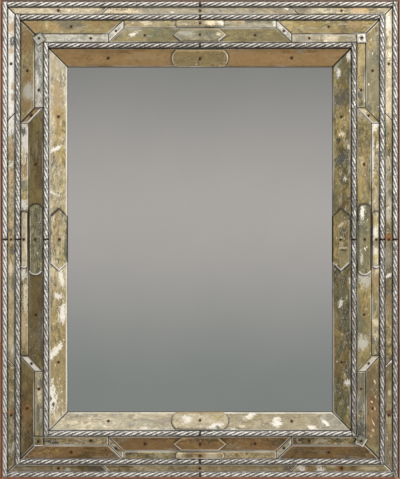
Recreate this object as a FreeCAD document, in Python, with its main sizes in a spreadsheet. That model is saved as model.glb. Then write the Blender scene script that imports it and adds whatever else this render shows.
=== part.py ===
import FreeCAD, Part
import math
import os
from collections import namedtuple

import Sketcher
from FreeCAD import Placement, Rotation, Vector

# Venetian glass wall mirror: a moulded wooden frame faced with nailed strips of old mirror glass,
# edged by three rings of twisted glass rope, round a plain mirror plate. Millimetres and degrees.
# X runs to the right, Z up, the front faces -Y and the wall is the plane Y = 0, with the origin at
# the middle of the back. Each side of the frame is built in its own axes: u along the side from its
# middle, v inward from the outer edge and w out of the wall, which are its bodies' X, Y and Z.

SIZES = {
    # Frame section, from the outer edge inward: bare edge, rope, band, rope, band, rope, band
    "overall_width": 800,
    "overall_height": 960,
    "edge_reveal": 5,
    "edge_height": 20,
    "edge_round": 2,
    "outer_band": 16,
    "outer_rise": 2.5,
    "middle_band": 47,
    "middle_rise": 12,
    "inner_band": 36,
    "inner_fall": 15,
    # Twisted glass rope
    "rope_diameter": 10,
    "rope_lead": 57,
    "rope_clearance": 0.4,
    "rope_butt_gap": 2.4,
    # Glass strips
    "glass_thickness": 4,
    "arris_width": 1.6,
    "arris_depth": 0.8,
    "bevel_width": 2.5,
    "bevel_depth": 1.5,
    "lip_bevel_width": 4,
    "lip_bevel_depth": 2,
    "joint_gap": 1.5,
    "narrow_width": 18,
    "corner_run": 217,
    "across_outer_run": 219,
    "upright_outer_run": 243,
    # Corner squares over the joints of the narrow strips, each turned by its own angle
    "square_size": 19,
    "top_left_turn": 35,
    "top_right_turn": 3,
    "bottom_left_turn": 2,
    "bottom_right_turn": -30,
    # Cover plates at the middle of each side
    "cover_margin": 1.3,
    "cover_point": 16,
    "across_narrow_cover": 97,
    "across_narrow_bow": 5,
    "across_wide_cover": 106,
    "across_inner_cover": 113,
    "across_inner_bow": 10,
    "upright_narrow_cover": 114,
    "upright_narrow_bow": 4,
    "upright_wide_cover": 142,
    "upright_wide_bow": 8.5,
    "upright_inner_cover": 125,
    # Nails: places are from the frame's corner, or from the middle of the side
    "nail_shank": 2,
    "nail_head": 4.4,
    "nail_head_height": 1,
    "nail_head_taper": 35,
    "nail_depth": 11,
    "nail_clearance": 0.8,
    "nail_fit": 0.05,
    "across_outer_nail": 117,
    "upright_outer_nail": 129,
    "wide_nail": 143,
    "narrow_nail": 182,
    "across_centre_nail": 110,
    "upright_centre_nail": 150,
    "across_inner_nail": 183,
    "upright_inner_nail": 245,
    # Mirror plate and back board, in stepped rebates behind the lip
    "mirror_thickness": 5,
    "board_thickness": 8,
    "lip_width": 12,
    "lip_setback": 1.5,
    "board_margin": 15,
    "pane_clearance": 1,
    # Loose tongues across the mitres
    "spline_centre": 58,
    "spline_length": 64,
    "spline_width": 40,
    "spline_thickness": 5,
    "spline_level": 7.5,
    "spline_clearance": 0.2,
    # Screws in the back
    "screw_shank": 3,
    "screw_head": 6,
    "screw_head_height": 1.5,
    "screw_length": 16,
    "screw_inset": 150,
    # Keyhole hanger plates, let in flush
    "hanger_inset": 150,
    "hanger_drop": 58,
    "hanger_width": 24,
    "hanger_length": 70,
    "hanger_thickness": 2,
    "hanger_clearance": 0.3,
    "hanger_screw_pitch": 52,
    "keyhole_entry": 10,
    "keyhole_slot": 5,
    "keyhole_rise": 13,
    "keyhole_room": 3,
    "keyhole_depth": 10,
}

# Places worked out from the sizes: where each band starts (v), its wood height there (w), its
# slope, and the low and high edges of its glass, measured up the slope from the start.
MARKS = {
    "outer_start": "sizes.edge_reveal + sizes.rope_diameter",
    "outer_end": "outer_start + sizes.outer_band",
    "middle_start": "outer_end + sizes.rope_diameter",
    "middle_end": "middle_start + sizes.middle_band",
    "inner_start": "middle_end + sizes.rope_diameter",
    "inner_end": "inner_start + sizes.inner_band",
    "outer_floor": "sizes.edge_height",
    "middle_floor": "outer_floor + sizes.outer_rise",
    "inner_floor": "middle_floor + sizes.middle_rise",
    "lip_floor": "inner_floor - sizes.inner_fall",
    "outer_tilt": "atan(sizes.outer_rise / sizes.outer_band)",
    "middle_tilt": "atan(sizes.middle_rise / sizes.middle_band)",
    "inner_tilt": "-atan(sizes.inner_fall / sizes.inner_band)",
    "hip_tilt": "atan(sizes.middle_rise / sizes.middle_band / sqrt(2))",
    "outer_low": "sizes.glass_thickness * sin(outer_tilt) + sizes.rope_clearance",
    "outer_high": "sizes.outer_band / cos(outer_tilt) - sizes.rope_clearance",
    "middle_low": "sizes.glass_thickness * sin(middle_tilt) + sizes.rope_clearance",
    "middle_slope": "sizes.middle_band / cos(middle_tilt)",
    "middle_high": "middle_slope - sizes.rope_clearance",
    "inner_low": "sizes.rope_clearance",
    "inner_high": "sizes.inner_band / cos(inner_tilt)",
    "wide_width": "middle_slope - sizes.narrow_width",
    "half_gap": "sizes.joint_gap / 2",
    "slant_gap": "sizes.joint_gap / sqrt(2)",
    "outer_mitre": "slant_gap",
    "middle_mitre": "slant_gap",
    "inner_mitre": "slant_gap - sizes.glass_thickness * sin(inner_tilt)",
    "diagonal_end": "middle_low - slant_gap",
    "hip_lean": "sizes.glass_thickness * sin(middle_tilt)",
    "hip_arris": "sizes.arris_width * sqrt(1 + cos(middle_tilt)^2)",
    "hip_gap": "(middle_mitre + hip_lean + hip_arris) / sqrt(2)",
    "hip_glass": "sizes.glass_thickness * cos(hip_tilt) / cos(middle_tilt)",
    "square_rest": "hip_glass - hip_gap * sin(hip_tilt)",
    "mirror_rebate": "inner_end - sizes.lip_width",
    "board_rebate": "mirror_rebate - sizes.board_margin",
    "mirror_front": "sizes.board_thickness + sizes.mirror_thickness",
    "screw_line": "board_rebate + (sizes.pane_clearance + sizes.board_margin) / 2",
    "rope_radius": "sizes.rope_diameter / 2",
    "nail_hole": "sizes.nail_shank + sizes.nail_clearance",
    "nail_pilot": "sizes.nail_shank + sizes.nail_fit",
    "screw_pilot": "sizes.screw_shank + sizes.nail_fit",
}

# Each corner square lies on the hip where two middle bands meet, as far in as its turn leaves it
# clear of the inner rope: its middle from both outer edges, and the wood's height there.
CORNERS = {"top_left": (-1, 1), "top_right": (1, 1), "bottom_left": (-1, -1), "bottom_right": (1, -1)}
for corner in CORNERS:
    turn = f"sizes.{corner}_turn"
    half_room = f"sizes.square_size / 2 * cos({turn})"
    MARKS[f"{corner}_square"] = f"middle_end - sizes.rope_clearance - {half_room}"
    MARKS[f"{corner}_floor"] = f"middle_floor + ({corner}_square - middle_start) * tan(middle_tilt)"

# A rope has RIBS ridges and is drawn in flat facets, ROPE_STEPS of them to a full turn of its twist.
RIBS = 4
ROPE_STEPS = 10

# Axes of the top side: u to the left, v down and w forward. The other sides turn about Y.
TOP_AXES = Rotation(Vector(-1, 0, 0), Vector(0, 0, -1), Vector(0, -1, 0), "ZXY")

# A side's ends are the corners that its u axis points to and comes from.
Side = namedtuple("Side", "name kind turn half axis reach ends")
Strip = namedtuple("Strip", "band outlines nails")

HALF_WIDTH = "sizes.overall_width / 2"
HALF_HEIGHT = "sizes.overall_height / 2"
SIDES = [
    Side("top", "across", 0, HALF_WIDTH, "z", HALF_HEIGHT, ("top_left", "top_right")),
    Side("right", "upright", 90, HALF_HEIGHT, "x", HALF_WIDTH, ("top_right", "bottom_right")),
    Side("bottom", "across", 180, HALF_WIDTH, "z", "-" + HALF_HEIGHT, ("bottom_right", "bottom_left")),
    Side("left", "upright", 270, HALF_HEIGHT, "x", "-" + HALF_WIDTH, ("bottom_left", "top_left")),
]
ROPE_RINGS = [
    ("outer", "sizes.edge_reveal + marks.rope_radius", "marks.outer_floor"),
    ("middle", "marks.outer_end + marks.rope_radius", "marks.middle_floor"),
    ("inner", "marks.middle_end + marks.rope_radius", "marks.inner_floor"),
]

doc = FreeCAD.newDocument("venetian_mirror")
nodes = []


def fill_sheet(name, cells, prefix):
    """A sheet with one aliased cell for each entry."""
    sheet = doc.addObject("Spreadsheet::Sheet", name)
    for row, (alias, content) in enumerate(cells.items(), 1):
        sheet.set(f"A{row}", alias.replace("_", " "))
        sheet.set(f"B{row}", prefix + str(content))
        sheet.setAlias(f"B{row}", alias)
    doc.recompute()
    return sheet


sizes = fill_sheet("sizes", SIZES, "")
marks = fill_sheet("marks", MARKS, "=")


def number(formula):
    """The present value of a formula over the two sheets."""
    found = sizes.evalExpression(formula)
    return float(getattr(found, "Value", found))


# Document objects

def as_node(piece, label):
    """Name a finished piece and list it for writing."""
    piece.Label = label
    nodes.append(piece)
    return piece


def new_body(name, side=None):
    """A body, in the axes of a side of the frame or in those of the whole object."""
    body = doc.addObject("PartDesign::Body", name)
    if side:
        place_on(side, body)
    return body


def place_on(side, piece):
    piece.Placement = Placement(Vector(), Rotation(Vector(0, 1, 0), side.turn) * TOP_AXES)
    piece.setExpression(f"Placement.Base.{side.axis}", side.reach)


def group(name, members):
    """Separate solids that share one node."""
    compound = doc.addObject("Part::Compound", name + "_group")
    compound.Links = members
    return as_node(compound, name)


def new_sketch(body, name, role="XY_Plane", base=("0", "0", "0"), axis=(1, 0, 0), tilt="0"):
    """A sketch on one of the body's own planes, moved to base and tilted about axis there."""
    sketch = body.newObject("Sketcher::SketchObject", f"{body.Name}_{name}")
    plane = next(part for part in body.Origin.OriginFeatures if part.Role == role)
    sketch.AttachmentSupport = [(plane, "")]
    sketch.MapMode = "FlatFace"
    sketch.AttachmentOffset = Placement(Vector(), Rotation(Vector(*axis), 1))
    for letter, formula in zip("xyz", base):
        sketch.setExpression(f"AttachmentOffset.Base.{letter}", formula)
    sketch.setExpression("AttachmentOffset.Rotation.Angle", tilt)
    return sketch


def band_sketch(body, name, band, lift="0"):
    """A sketch on the slope of a band, lifted square off the wood."""
    tilt = f"marks.{band}_tilt"
    base = ("0", f"marks.{band}_start - ({lift}) * sin({tilt})",
            f"marks.{band}_floor + ({lift}) * cos({tilt})")
    return new_sketch(body, name, base=base, tilt=tilt)


def bind(sketch, constraint, formula):
    index = sketch.addConstraint(constraint)
    sketch.setExpression(f"Constraints[{index}]", formula)


def fix_point(sketch, geometry, point, place):
    """Hold a point of the sketch at two formulas, measured from the sketch's origin."""
    across, along = place
    bind(sketch, Sketcher.Constraint("DistanceX", -1, 1, geometry, point, number(across)), across)
    bind(sketch, Sketcher.Constraint("DistanceY", -1, 1, geometry, point, number(along)), along)


def place_vector(place):
    return Vector(number(place[0]), number(place[1]), 0)


def add_line(sketch, start, end):
    return sketch.addGeometry(Part.LineSegment(place_vector(start), place_vector(end)), False)


def join_ends(sketch, lines):
    """Join each piece of a closed outline to the next."""
    for line, following in zip(lines, lines[1:] + lines[:1]):
        sketch.addConstraint(Sketcher.Constraint("Coincident", line, 2, following, 1))


def add_polygon(sketch, corners):
    lines = [add_line(sketch, start, end) for start, end in zip(corners, corners[1:] + corners[:1])]
    join_ends(sketch, lines)
    for line, corner in zip(lines, corners):
        fix_point(sketch, line, 1, corner)


def add_circles(sketch, centres, diameter):
    for centre in centres:
        circle = Part.Circle(place_vector(centre), Vector(0, 0, 1), number(diameter) / 2)
        index = sketch.addGeometry(circle, False)
        fix_point(sketch, index, 3, centre)
        bind(sketch, Sketcher.Constraint("Diameter", index, number(diameter)), diameter)


def add_bowed(sketch, length, low, high, bow):
    """A plate with two straight edges and ends that are bowed outward by an arc."""
    straight = f"({length}) / 2 - {bow}"
    radius = f"((({high}) - ({low}))^2 / 4 + {bow}^2) / (2 * {bow})"
    corners = [(f"-({straight})", low), (straight, low), (straight, high), (f"-({straight})", high)]
    middle = (number(low) + number(high)) / 2
    swing = math.asin((number(high) - number(low)) / 2 / number(radius))
    outlines = [add_line(sketch, corners[0], corners[1])]
    for sign, facing in ((1, 0), (-1, math.pi)):
        centre = Vector(sign * (number(length) / 2 - number(radius)), middle, 0)
        circle = Part.Circle(centre, Vector(0, 0, 1), number(radius))
        arc = Part.ArcOfCircle(circle, facing - swing, facing + swing)
        outlines.append(sketch.addGeometry(arc, False))
        if sign > 0:
            outlines.append(add_line(sketch, corners[2], corners[3]))
    join_ends(sketch, outlines)
    for line, start, end in ((outlines[0], 0, 1), (outlines[2], 2, 3)):
        fix_point(sketch, line, 1, corners[start])
        fix_point(sketch, line, 2, corners[end])
    for arc in (outlines[1], outlines[3]):
        bind(sketch, Sketcher.Constraint("Radius", arc, number(radius)), radius)


def pad(body, sketch, length, downward=False, taper="0", both_ways=False):
    feature = body.newObject("PartDesign::Pad", sketch.Name + "_pad")
    feature.Profile = sketch
    feature.Reversed = downward
    feature.SideType = "Symmetric" if both_ways else "One side"
    feature.setExpression("Length", length)
    feature.setExpression("TaperAngle", taper)
    return feature


def pocket(body, sketch, depth, forward=False, both_ways=False):
    """Cut a sketch into the body: towards the wall, forward, or to both sides of its plane."""
    feature = body.newObject("PartDesign::Pocket", sketch.Name + "_cut")
    feature.Profile = sketch
    feature.Reversed = forward
    feature.SideType = "Symmetric" if both_ways else "One side"
    feature.setExpression("Length", depth)


def countersink(body, plate, depth, normal):
    """Open the rims of the holes in the faces that look along normal, at 45 degrees."""
    doc.recompute()
    rims = []
    for face in plate.Shape.Faces:
        if face.normalAt(0, 0).isEqual(normal, 1e-3):
            holes = [wire for wire in face.Wires if not wire.isSame(face.OuterWire)]
            rims += [edge for wire in holes for edge in wire.Edges]
    names = [f"Edge{index}" for index, edge in enumerate(plate.Shape.Edges, 1)
             if any(edge.isSame(rim) for rim in rims)]
    feature = body.newObject("PartDesign::Chamfer", plate.Name + "_countersunk")
    feature.Base = (plate, names)
    feature.setExpression("Size", depth)


# Places along a side

def from_corner(side, distance):
    return f"{side.half} - ({distance})"


def mitre(side, band, height):
    """Where a band's glass ends at the mitre, at a height up its slope."""
    plan = f"marks.{band}_start + ({height}) * cos(marks.{band}_tilt)"
    return from_corner(side, f"{plan} + marks.{band}_mitre")


def corner_sketches(body, side, name):
    """Sketches on the hips at both ends of a side, at the middles of their corner squares."""
    sketches = []
    for sign, corner in zip((1, -1), side.ends):
        middle = f"marks.{corner}_square"
        base = (f"{sign} * ({from_corner(side, middle)})", middle, f"marks.{corner}_floor")
        sketches.append(new_sketch(body, f"{corner}_{name}", base=base, axis=(1, sign, 0),
                                   tilt="marks.hip_tilt"))
    return sketches


def mirrored(places):
    return [(f"-({across})", along) for across, along in places]


def both_ends(outline):
    return [outline, mirrored(outline)[::-1]]


def mean(low, high):
    return f"(({low}) + ({high})) / 2"


# Glass strips

def outer_strips(side):
    """Two strips mitred at the corners, and a longer one between their slanted ends."""
    low, high = "marks.outer_low", "marks.outer_high"
    slant = from_corner(side, f"sizes.{side.kind}_outer_run")
    corner = [(f"{slant} + {low} + marks.slant_gap", low), (mitre(side, "outer", low), low),
              (mitre(side, "outer", high), high), (f"{slant} + {high} + marks.slant_gap", high)]
    ends = [(f"{slant} + {low} - marks.slant_gap", low), (f"{slant} + {high} - marks.slant_gap", high)]
    centre = ends + mirrored(ends)[::-1]
    nail = [(from_corner(side, f"sizes.{side.kind}_outer_nail"), mean(low, high))]
    return Strip("outer", both_ends(corner) + [centre], nail + mirrored(nail) + [("0", mean(low, high))])


def wide_corner_strips(side):
    """Mitred at the corner and cut back at 45 degrees along the diagonal strip."""
    low, high = "marks.middle_low", "marks.wide_width - marks.half_gap"
    slant = from_corner(side, "sizes.corner_run + marks.wide_width - marks.slant_gap")
    corner = [(f"{slant} + {low}", low), (mitre(side, "middle", low), low),
              (mitre(side, "middle", high), high), (f"{slant} + {high}", high)]
    nail = [(from_corner(side, "sizes.wide_nail"), mean(low, high))]
    return Strip("middle", both_ends(corner), nail + mirrored(nail))


def narrow_corner_strips(side):
    """From the diagonal strip to a mitre under the corner square."""
    low, high = "marks.wide_width + marks.half_gap", "marks.middle_high"
    far = from_corner(side, "sizes.corner_run - marks.half_gap")
    corner = [(far, low), (mitre(side, "middle", low), low), (mitre(side, "middle", high), high),
              (far, high)]
    nail = [(from_corner(side, "sizes.narrow_nail"), mean(low, high))]
    return Strip("middle", both_ends(corner), nail + mirrored(nail))


def diagonal_strips(side):
    """Parallelograms that carry the narrow line across from the inner edge to the outer one."""
    wide_line = "sizes.corner_run + marks.wide_width"
    outer_end = from_corner(side, f"{wide_line} - marks.diagonal_end")
    inner_end = from_corner(side, "sizes.corner_run + marks.half_gap")
    across = "sizes.narrow_width - 2 * marks.slant_gap"
    foot = "marks.middle_low"
    shoulder = "marks.wide_width + marks.slant_gap - marks.half_gap"
    corner = [(outer_end, foot), (inner_end, shoulder),
              (inner_end, f"{shoulder} + {across}"), (outer_end, f"{foot} + {across}")]
    middle = mean(foot, f"{shoulder} + {across}")
    nail = [(mean(outer_end, inner_end), middle)]
    return Strip("middle", both_ends(corner), nail + mirrored(nail))


def narrow_centre_strip(side):
    low, high = "marks.middle_low", "sizes.narrow_width - marks.half_gap"
    wide_line = "sizes.corner_run + marks.wide_width"
    end = from_corner(side, f"{wide_line} - marks.diagonal_end + sizes.joint_gap")
    outline = [(f"-({end})", low), (end, low), (end, high), (f"-({end})", high)]
    return Strip("middle", [outline], [("0", mean(low, high))])


def wide_centre_strip(side):
    """Longer on its inner edge, with 45 degree ends that follow the diagonal strips."""
    low, high = "sizes.narrow_width + marks.half_gap", "marks.middle_high"
    slant = from_corner(side, "sizes.corner_run + marks.middle_slope + marks.slant_gap")
    ends = [(f"{slant} + {low}", low), (f"{slant} + {high}", high)]
    nail = [(f"sizes.{side.kind}_centre_nail", mean(low, high))]
    return Strip("middle", [ends + mirrored(ends)[::-1]],
                 nail + mirrored(nail) + [("0", mean(low, high))])


def inner_strip(side):
    """One mitred strip that slopes down to the mirror."""
    low, high = "marks.inner_low", "marks.inner_high"
    ends = [(mitre(side, "inner", low), low), (mitre(side, "inner", high), high)]
    nail = [(f"sizes.{side.kind}_inner_nail", mean(low, high))]
    return Strip("inner", [ends + mirrored(ends)[::-1]],
                 nail + mirrored(nail) + [("0", mean(low, high))])


STRIP_KINDS = [outer_strips, wide_corner_strips, narrow_corner_strips, diagonal_strips,
               narrow_centre_strip, wide_centre_strip, inner_strip]
COVERED = [narrow_centre_strip, wide_centre_strip, inner_strip]


def make_glass(body, sketch_at, draw, holes, edge="bevel"):
    """A plate with its upper edges ground to an arris or a bevel and holes drilled for its nails.

    sketch_at gives a sketch at a height above the underside, and draw adds the outline to it.
    """
    width, depth = f"sizes.{edge}_width", f"sizes.{edge}_depth"
    square_edge = f"sizes.glass_thickness - {depth}"
    lower = sketch_at(body, "outline", "0")
    draw(lower)
    pad(body, lower, square_edge)
    upper = sketch_at(body, "ground_edge", square_edge)
    draw(upper)
    pad(body, upper, depth, taper=f"-atan({width} / {depth})")
    drilled = sketch_at(body, "holes", "sizes.glass_thickness")
    add_circles(drilled, holes, "marks.nail_hole")
    pocket(body, drilled, "sizes.glass_thickness")


def bevel_lip(body, side):
    """Grind a wider bevel along the edge of the inner strip that meets the mirror."""
    sketch = new_sketch(body, "lip_bevel", role="YZ_Plane",
                        base=("marks.inner_start", "marks.inner_floor", "0"),
                        axis=(0, 0, 1), tilt="marks.inner_tilt")
    face = "sizes.glass_thickness"
    start, end = (f"marks.inner_high {sign} sizes.lip_bevel_width" for sign in "-+")
    add_polygon(sketch, [(start, face), (end, face), (end, f"{face} - 2 * sizes.lip_bevel_depth")])
    pocket(body, sketch, f"2 * {side.half}", both_ways=True)


def make_strips(side, kind):
    plan = kind(side)
    body = new_body(f"{side.name}_{kind.__name__}", side)

    def draw(sketch):
        for outline in plan.outlines:
            add_polygon(sketch, outline)

    make_glass(body, lambda owner, name, lift: band_sketch(owner, name, plan.band, lift),
               draw, plan.nails, edge="bevel" if kind is diagonal_strips else "arris")
    if kind is inner_strip:
        bevel_lip(body, side)
    if kind is narrow_corner_strips:
        for sketch in corner_sketches(body, side, "nick"):
            add_circles(sketch, [("0", "0")], "marks.nail_hole")
            pocket(body, sketch, "4 * sizes.glass_thickness", both_ways=True)
    as_node(body, body.Name)


# Cover plates

# Which of a side's three covers is pointed; the other two have bowed ends.
POINTED_COVER = {"across": "wide", "upright": "inner"}


def add_pointed(sketch, length, low, high):
    """A plate with a point at each end."""
    tip = f"({length}) / 2"
    shoulder = f"{tip} - sizes.cover_point"
    right = [(shoulder, low), (tip, mean(low, high)), (shoulder, high)]
    add_polygon(sketch, right + mirrored(right)[::-1])


def make_covers(side):
    """Three plates over the middle of the side: two on the middle band and one on the inner band."""
    covers = [
        ("narrow", "middle", "marks.middle_low", "sizes.narrow_width - marks.half_gap"),
        ("wide", "middle", "sizes.narrow_width + marks.half_gap", "marks.middle_high"),
        ("inner", "inner", "marks.inner_low", "marks.inner_high"),
    ]
    bodies = []
    for name, band, strip_low, strip_high in covers:
        low, high = f"{strip_low} + sizes.cover_margin", f"{strip_high} - sizes.cover_margin"
        length = f"sizes.{side.kind}_{name}_cover"
        bow = f"sizes.{side.kind}_{name}_bow"

        def sketch_at(owner, part, lift):
            return band_sketch(owner, part, band, f"sizes.glass_thickness + {lift}")

        def draw(sketch):
            if name == POINTED_COVER[side.kind]:
                add_pointed(sketch, length, low, high)
            else:
                add_bowed(sketch, length, low, high, bow)

        body = new_body(f"{side.name}_{name}_cover", side)
        make_glass(body, sketch_at, draw, [("0", mean(low, high))])
        bodies.append(body)
    group(f"{side.name}_cover_plates", bodies)


# Nails and screws

def make_nails(body, sketch_at, centres, shank_length):
    """Nails whose heads stand on the plane that sketch_at gives and whose shanks go down from it."""
    shanks = sketch_at(body, "shanks")
    add_circles(shanks, centres, "sizes.nail_shank")
    pad(body, shanks, shank_length, downward=True)
    heads = sketch_at(body, "heads")
    add_circles(heads, centres, "sizes.nail_head")
    pad(body, heads, "sizes.nail_head_height", taper="-sizes.nail_head_taper")
    return body


def band_nails(side):
    """The nails through the strips of each band, and the longer ones through the covers."""
    bodies = []
    for band in ("outer", "middle", "inner"):
        plain, covered = [], []
        for kind in STRIP_KINDS:
            plan = kind(side)
            if plan.band == band:
                has_cover = kind in COVERED
                plain += [place for place in plan.nails if place[0] != "0" or not has_cover]
                covered += [place for place in plan.nails if place[0] == "0" and has_cover]
        for layers, centres in ((1, plain), (2, covered)):
            if centres:
                lift = f"{layers} * sizes.glass_thickness"
                body = new_body(f"{side.name}_{band}_nails_{layers}", side)
                make_nails(body, lambda owner, name: band_sketch(owner, name, band, lift),
                           centres, f"sizes.nail_depth + {lift}")
                bodies.append(body)
    return bodies


def rope_nails(side):
    """A nail between the butted rope ends at the middle of the side, for each ring of rope."""
    bodies = []
    for ring, line, floor in ROPE_RINGS:
        body = new_body(f"{side.name}_{ring}_rope_nail", side)
        top = f"{floor} + sizes.rope_diameter"
        make_nails(body, lambda owner, name: new_sketch(owner, name, base=("0", "0", top)),
                   [("0", line)], "sizes.nail_depth + sizes.rope_diameter")
        bodies.append(body)
    return bodies


def make_screws(body, plane_level, centres):
    """Countersunk screws with their heads flush with the back, pointing forward."""
    shanks = new_sketch(body, "shanks", base=("0", "0", plane_level))
    add_circles(shanks, centres, "sizes.screw_shank")
    pad(body, shanks, "sizes.screw_length")
    heads = new_sketch(body, "heads", base=("0", "0", plane_level))
    add_circles(heads, centres, "sizes.screw_head")
    slope = "atan((sizes.screw_head - sizes.screw_shank) / 2 / sizes.screw_head_height)"
    pad(body, heads, "sizes.screw_head_height", taper=f"-{slope}")
    return body


def board_screw_places(side):
    """Screws along the board's margin: at the middle of the side and in from both its corners."""
    beside = [(from_corner(side, "sizes.screw_inset"), "marks.screw_line")]
    return beside + mirrored(beside) + [("0", "marks.screw_line")]


# The middles of the two hanger plates, along the top side
HANGER_LINES = [f"{sign}({from_corner(SIDES[0], 'sizes.hanger_inset')})" for sign in ("-", "")]


def hanger_screw_places():
    places = []
    for middle in HANGER_LINES:
        for offset in ("-", "+"):
            places.append((middle, f"sizes.hanger_drop {offset} sizes.hanger_screw_pitch / 2"))
    return places


# Wooden frame

def spline_outline(side, room):
    """A tongue lying along the mitre, as a rectangle turned by 45 degrees."""
    length = f"(sizes.spline_length + 2 * {room}) / 2 / sqrt(2)"
    width = f"(sizes.spline_width + 2 * {room}) / 2 / sqrt(2)"
    corners = []
    for along, beside in ((-1, -1), (-1, 1), (1, 1), (1, -1)):
        shift = f"{along} * {length}"
        spread = f"{beside} * {width}"
        across = from_corner(side, f"sizes.spline_centre + {shift} - ({spread})")
        corners.append((across, f"sizes.spline_centre + {shift} + {spread}"))
    return corners


def rail_section():
    """The rail's profile as (v, w), from the back of the outer edge round to the board rebate."""
    lip = "marks.inner_end - sizes.lip_setback"
    lip_top = "marks.lip_floor - sizes.lip_setback * tan(marks.inner_tilt)"
    return [
        ("0", "0"),
        ("0", "sizes.edge_height - sizes.edge_round"),
        ("sizes.edge_round", "sizes.edge_height"),
        ("marks.outer_start", "marks.outer_floor"),
        ("marks.outer_end", "marks.middle_floor"),
        ("marks.middle_start", "marks.middle_floor"),
        ("marks.middle_end", "marks.inner_floor"),
        ("marks.inner_start", "marks.inner_floor"),
        (lip, lip_top),
        (lip, "marks.mirror_front"),
        ("marks.mirror_rebate", "marks.mirror_front"),
        ("marks.mirror_rebate", "sizes.board_thickness"),
        ("marks.board_rebate", "sizes.board_thickness"),
        ("marks.board_rebate", "0"),
    ]


def cut_mitres(body, side):
    """Cut both ends at 45 degrees."""
    sketch = new_sketch(body, "mitres")
    outside = f"{side.half} + marks.inner_end"
    end = [(side.half, "0"), (outside, "0"), (outside, "2 * marks.inner_end"),
           (from_corner(side, "2 * marks.inner_end"), "2 * marks.inner_end")]
    for outline in both_ends(end):
        add_polygon(sketch, outline)
    pocket(body, sketch, "2 * marks.inner_floor", forward=True)


def drill_for_nails(body, side):
    """Pilot holes for the nails of each band, each rope and both corner squares."""
    for band in ("outer", "middle", "inner"):
        sketch = band_sketch(body, f"{band}_pilots", band)
        plans = [kind(side) for kind in STRIP_KINDS]
        centres = [place for plan in plans if plan.band == band for place in plan.nails]
        add_circles(sketch, centres, "marks.nail_pilot")
        pocket(body, sketch, "sizes.nail_depth")
    for ring, line, floor in ROPE_RINGS:
        sketch = new_sketch(body, f"{ring}_rope_pilot", base=("0", "0", floor))
        add_circles(sketch, [("0", line)], "marks.nail_pilot")
        pocket(body, sketch, "sizes.nail_depth")
    for sketch in corner_sketches(body, side, "pilot"):
        add_circles(sketch, [("0", "0")], "marks.nail_pilot")
        pocket(body, sketch, "sizes.nail_depth")


def recess_hangers(body):
    """Let the hanger plates in flush, with room behind the keyholes and for their screws."""
    plates = new_sketch(body, "hanger_recess")
    for middle in HANGER_LINES:
        add_polygon(plates, hanger_rectangle(middle, "sizes.hanger_width + 2 * sizes.hanger_clearance",
                                             "sizes.hanger_length + 2 * sizes.hanger_clearance"))
    pocket(body, plates, "sizes.hanger_thickness", forward=True)
    rooms = new_sketch(body, "keyhole_rooms", base=("0", "0", "sizes.hanger_thickness"))
    low = "sizes.hanger_drop - sizes.keyhole_rise - sizes.keyhole_entry / 2 - sizes.keyhole_room"
    high = "sizes.hanger_drop + sizes.keyhole_entry / 2 + sizes.keyhole_room"
    half = "(sizes.keyhole_entry / 2 + sizes.keyhole_room)"
    for middle in HANGER_LINES:
        near, far = f"{middle} - {half}", f"{middle} + {half}"
        add_polygon(rooms, [(near, low), (far, low), (far, high), (near, high)])
    pocket(body, rooms, "sizes.keyhole_depth", forward=True)
    pilots = new_sketch(body, "hanger_pilots", base=("0", "0", "sizes.hanger_thickness"))
    add_circles(pilots, hanger_screw_places(), "marks.screw_pilot")
    pocket(body, pilots, "sizes.screw_length - sizes.hanger_thickness", forward=True)


def make_rail(side):
    body = new_body(f"{side.name}_rail", side)
    section = new_sketch(body, "section", role="YZ_Plane")
    add_polygon(section, rail_section())
    pad(body, section, f"2 * {side.half}", both_ways=True)
    cut_mitres(body, side)
    slots = new_sketch(body, "slots", base=("0", "0", "sizes.spline_level"))
    for outline in both_ends(spline_outline(side, "sizes.spline_clearance")):
        add_polygon(slots, outline)
    pocket(body, slots, "sizes.spline_thickness + sizes.spline_clearance", forward=True)
    drill_for_nails(body, side)
    pilots = new_sketch(body, "board_pilots", base=("0", "0", "sizes.board_thickness"))
    add_circles(pilots, board_screw_places(side), "marks.screw_pilot")
    pocket(body, pilots, "sizes.screw_length - sizes.board_thickness", forward=True)
    if side.name == "top":
        recess_hangers(body)
    as_node(body, body.Name)


def make_splines():
    """Loose tongues that lock the four mitres."""
    bodies = []
    for side in (SIDES[0], SIDES[2]):
        body = new_body(f"{side.name}_splines", side)
        sketch = new_sketch(body, "outline", base=("0", "0", "sizes.spline_level"))
        for outline in both_ends(spline_outline(side, "0")):
            add_polygon(sketch, outline)
        pad(body, sketch, "sizes.spline_thickness")
        bodies.append(body)
    group("mitre_splines", bodies)


# Twisted glass rope

def twisted_rod(length, radius, lead):
    """A ribbed rod along X with a left hand twist, its flutes between the ridges drawn inward."""
    steps = max(1, round(length / lead * ROPE_STEPS))
    rings = []
    for step in range(steps + 1):
        x = length * step / steps
        turns = [index / RIBS - x / lead for index in range(RIBS)]
        angles = [2 * math.pi * turn for turn in turns]
        rings.append([Vector(x, radius * math.cos(a), radius * math.sin(a)) for a in angles])
    faces = [polygon_face(rings[0]), polygon_face(rings[-1])]
    for near, far in zip(rings, rings[1:]):
        for index in range(RIBS):
            after = (index + 1) % RIBS
            faces.append(polygon_face([near[index], far[index], near[after]]))
            faces.append(polygon_face([near[after], far[index], far[after]]))
    shell = Part.Shell(faces)
    shell.sewShape()
    rod = Part.Solid(Part.Shell(shell.Faces))
    if rod.Volume < 0:
        rod.reverse()
    return rod


def polygon_face(corners):
    return Part.Face(Part.makePolygon(corners + corners[:1]))


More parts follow.
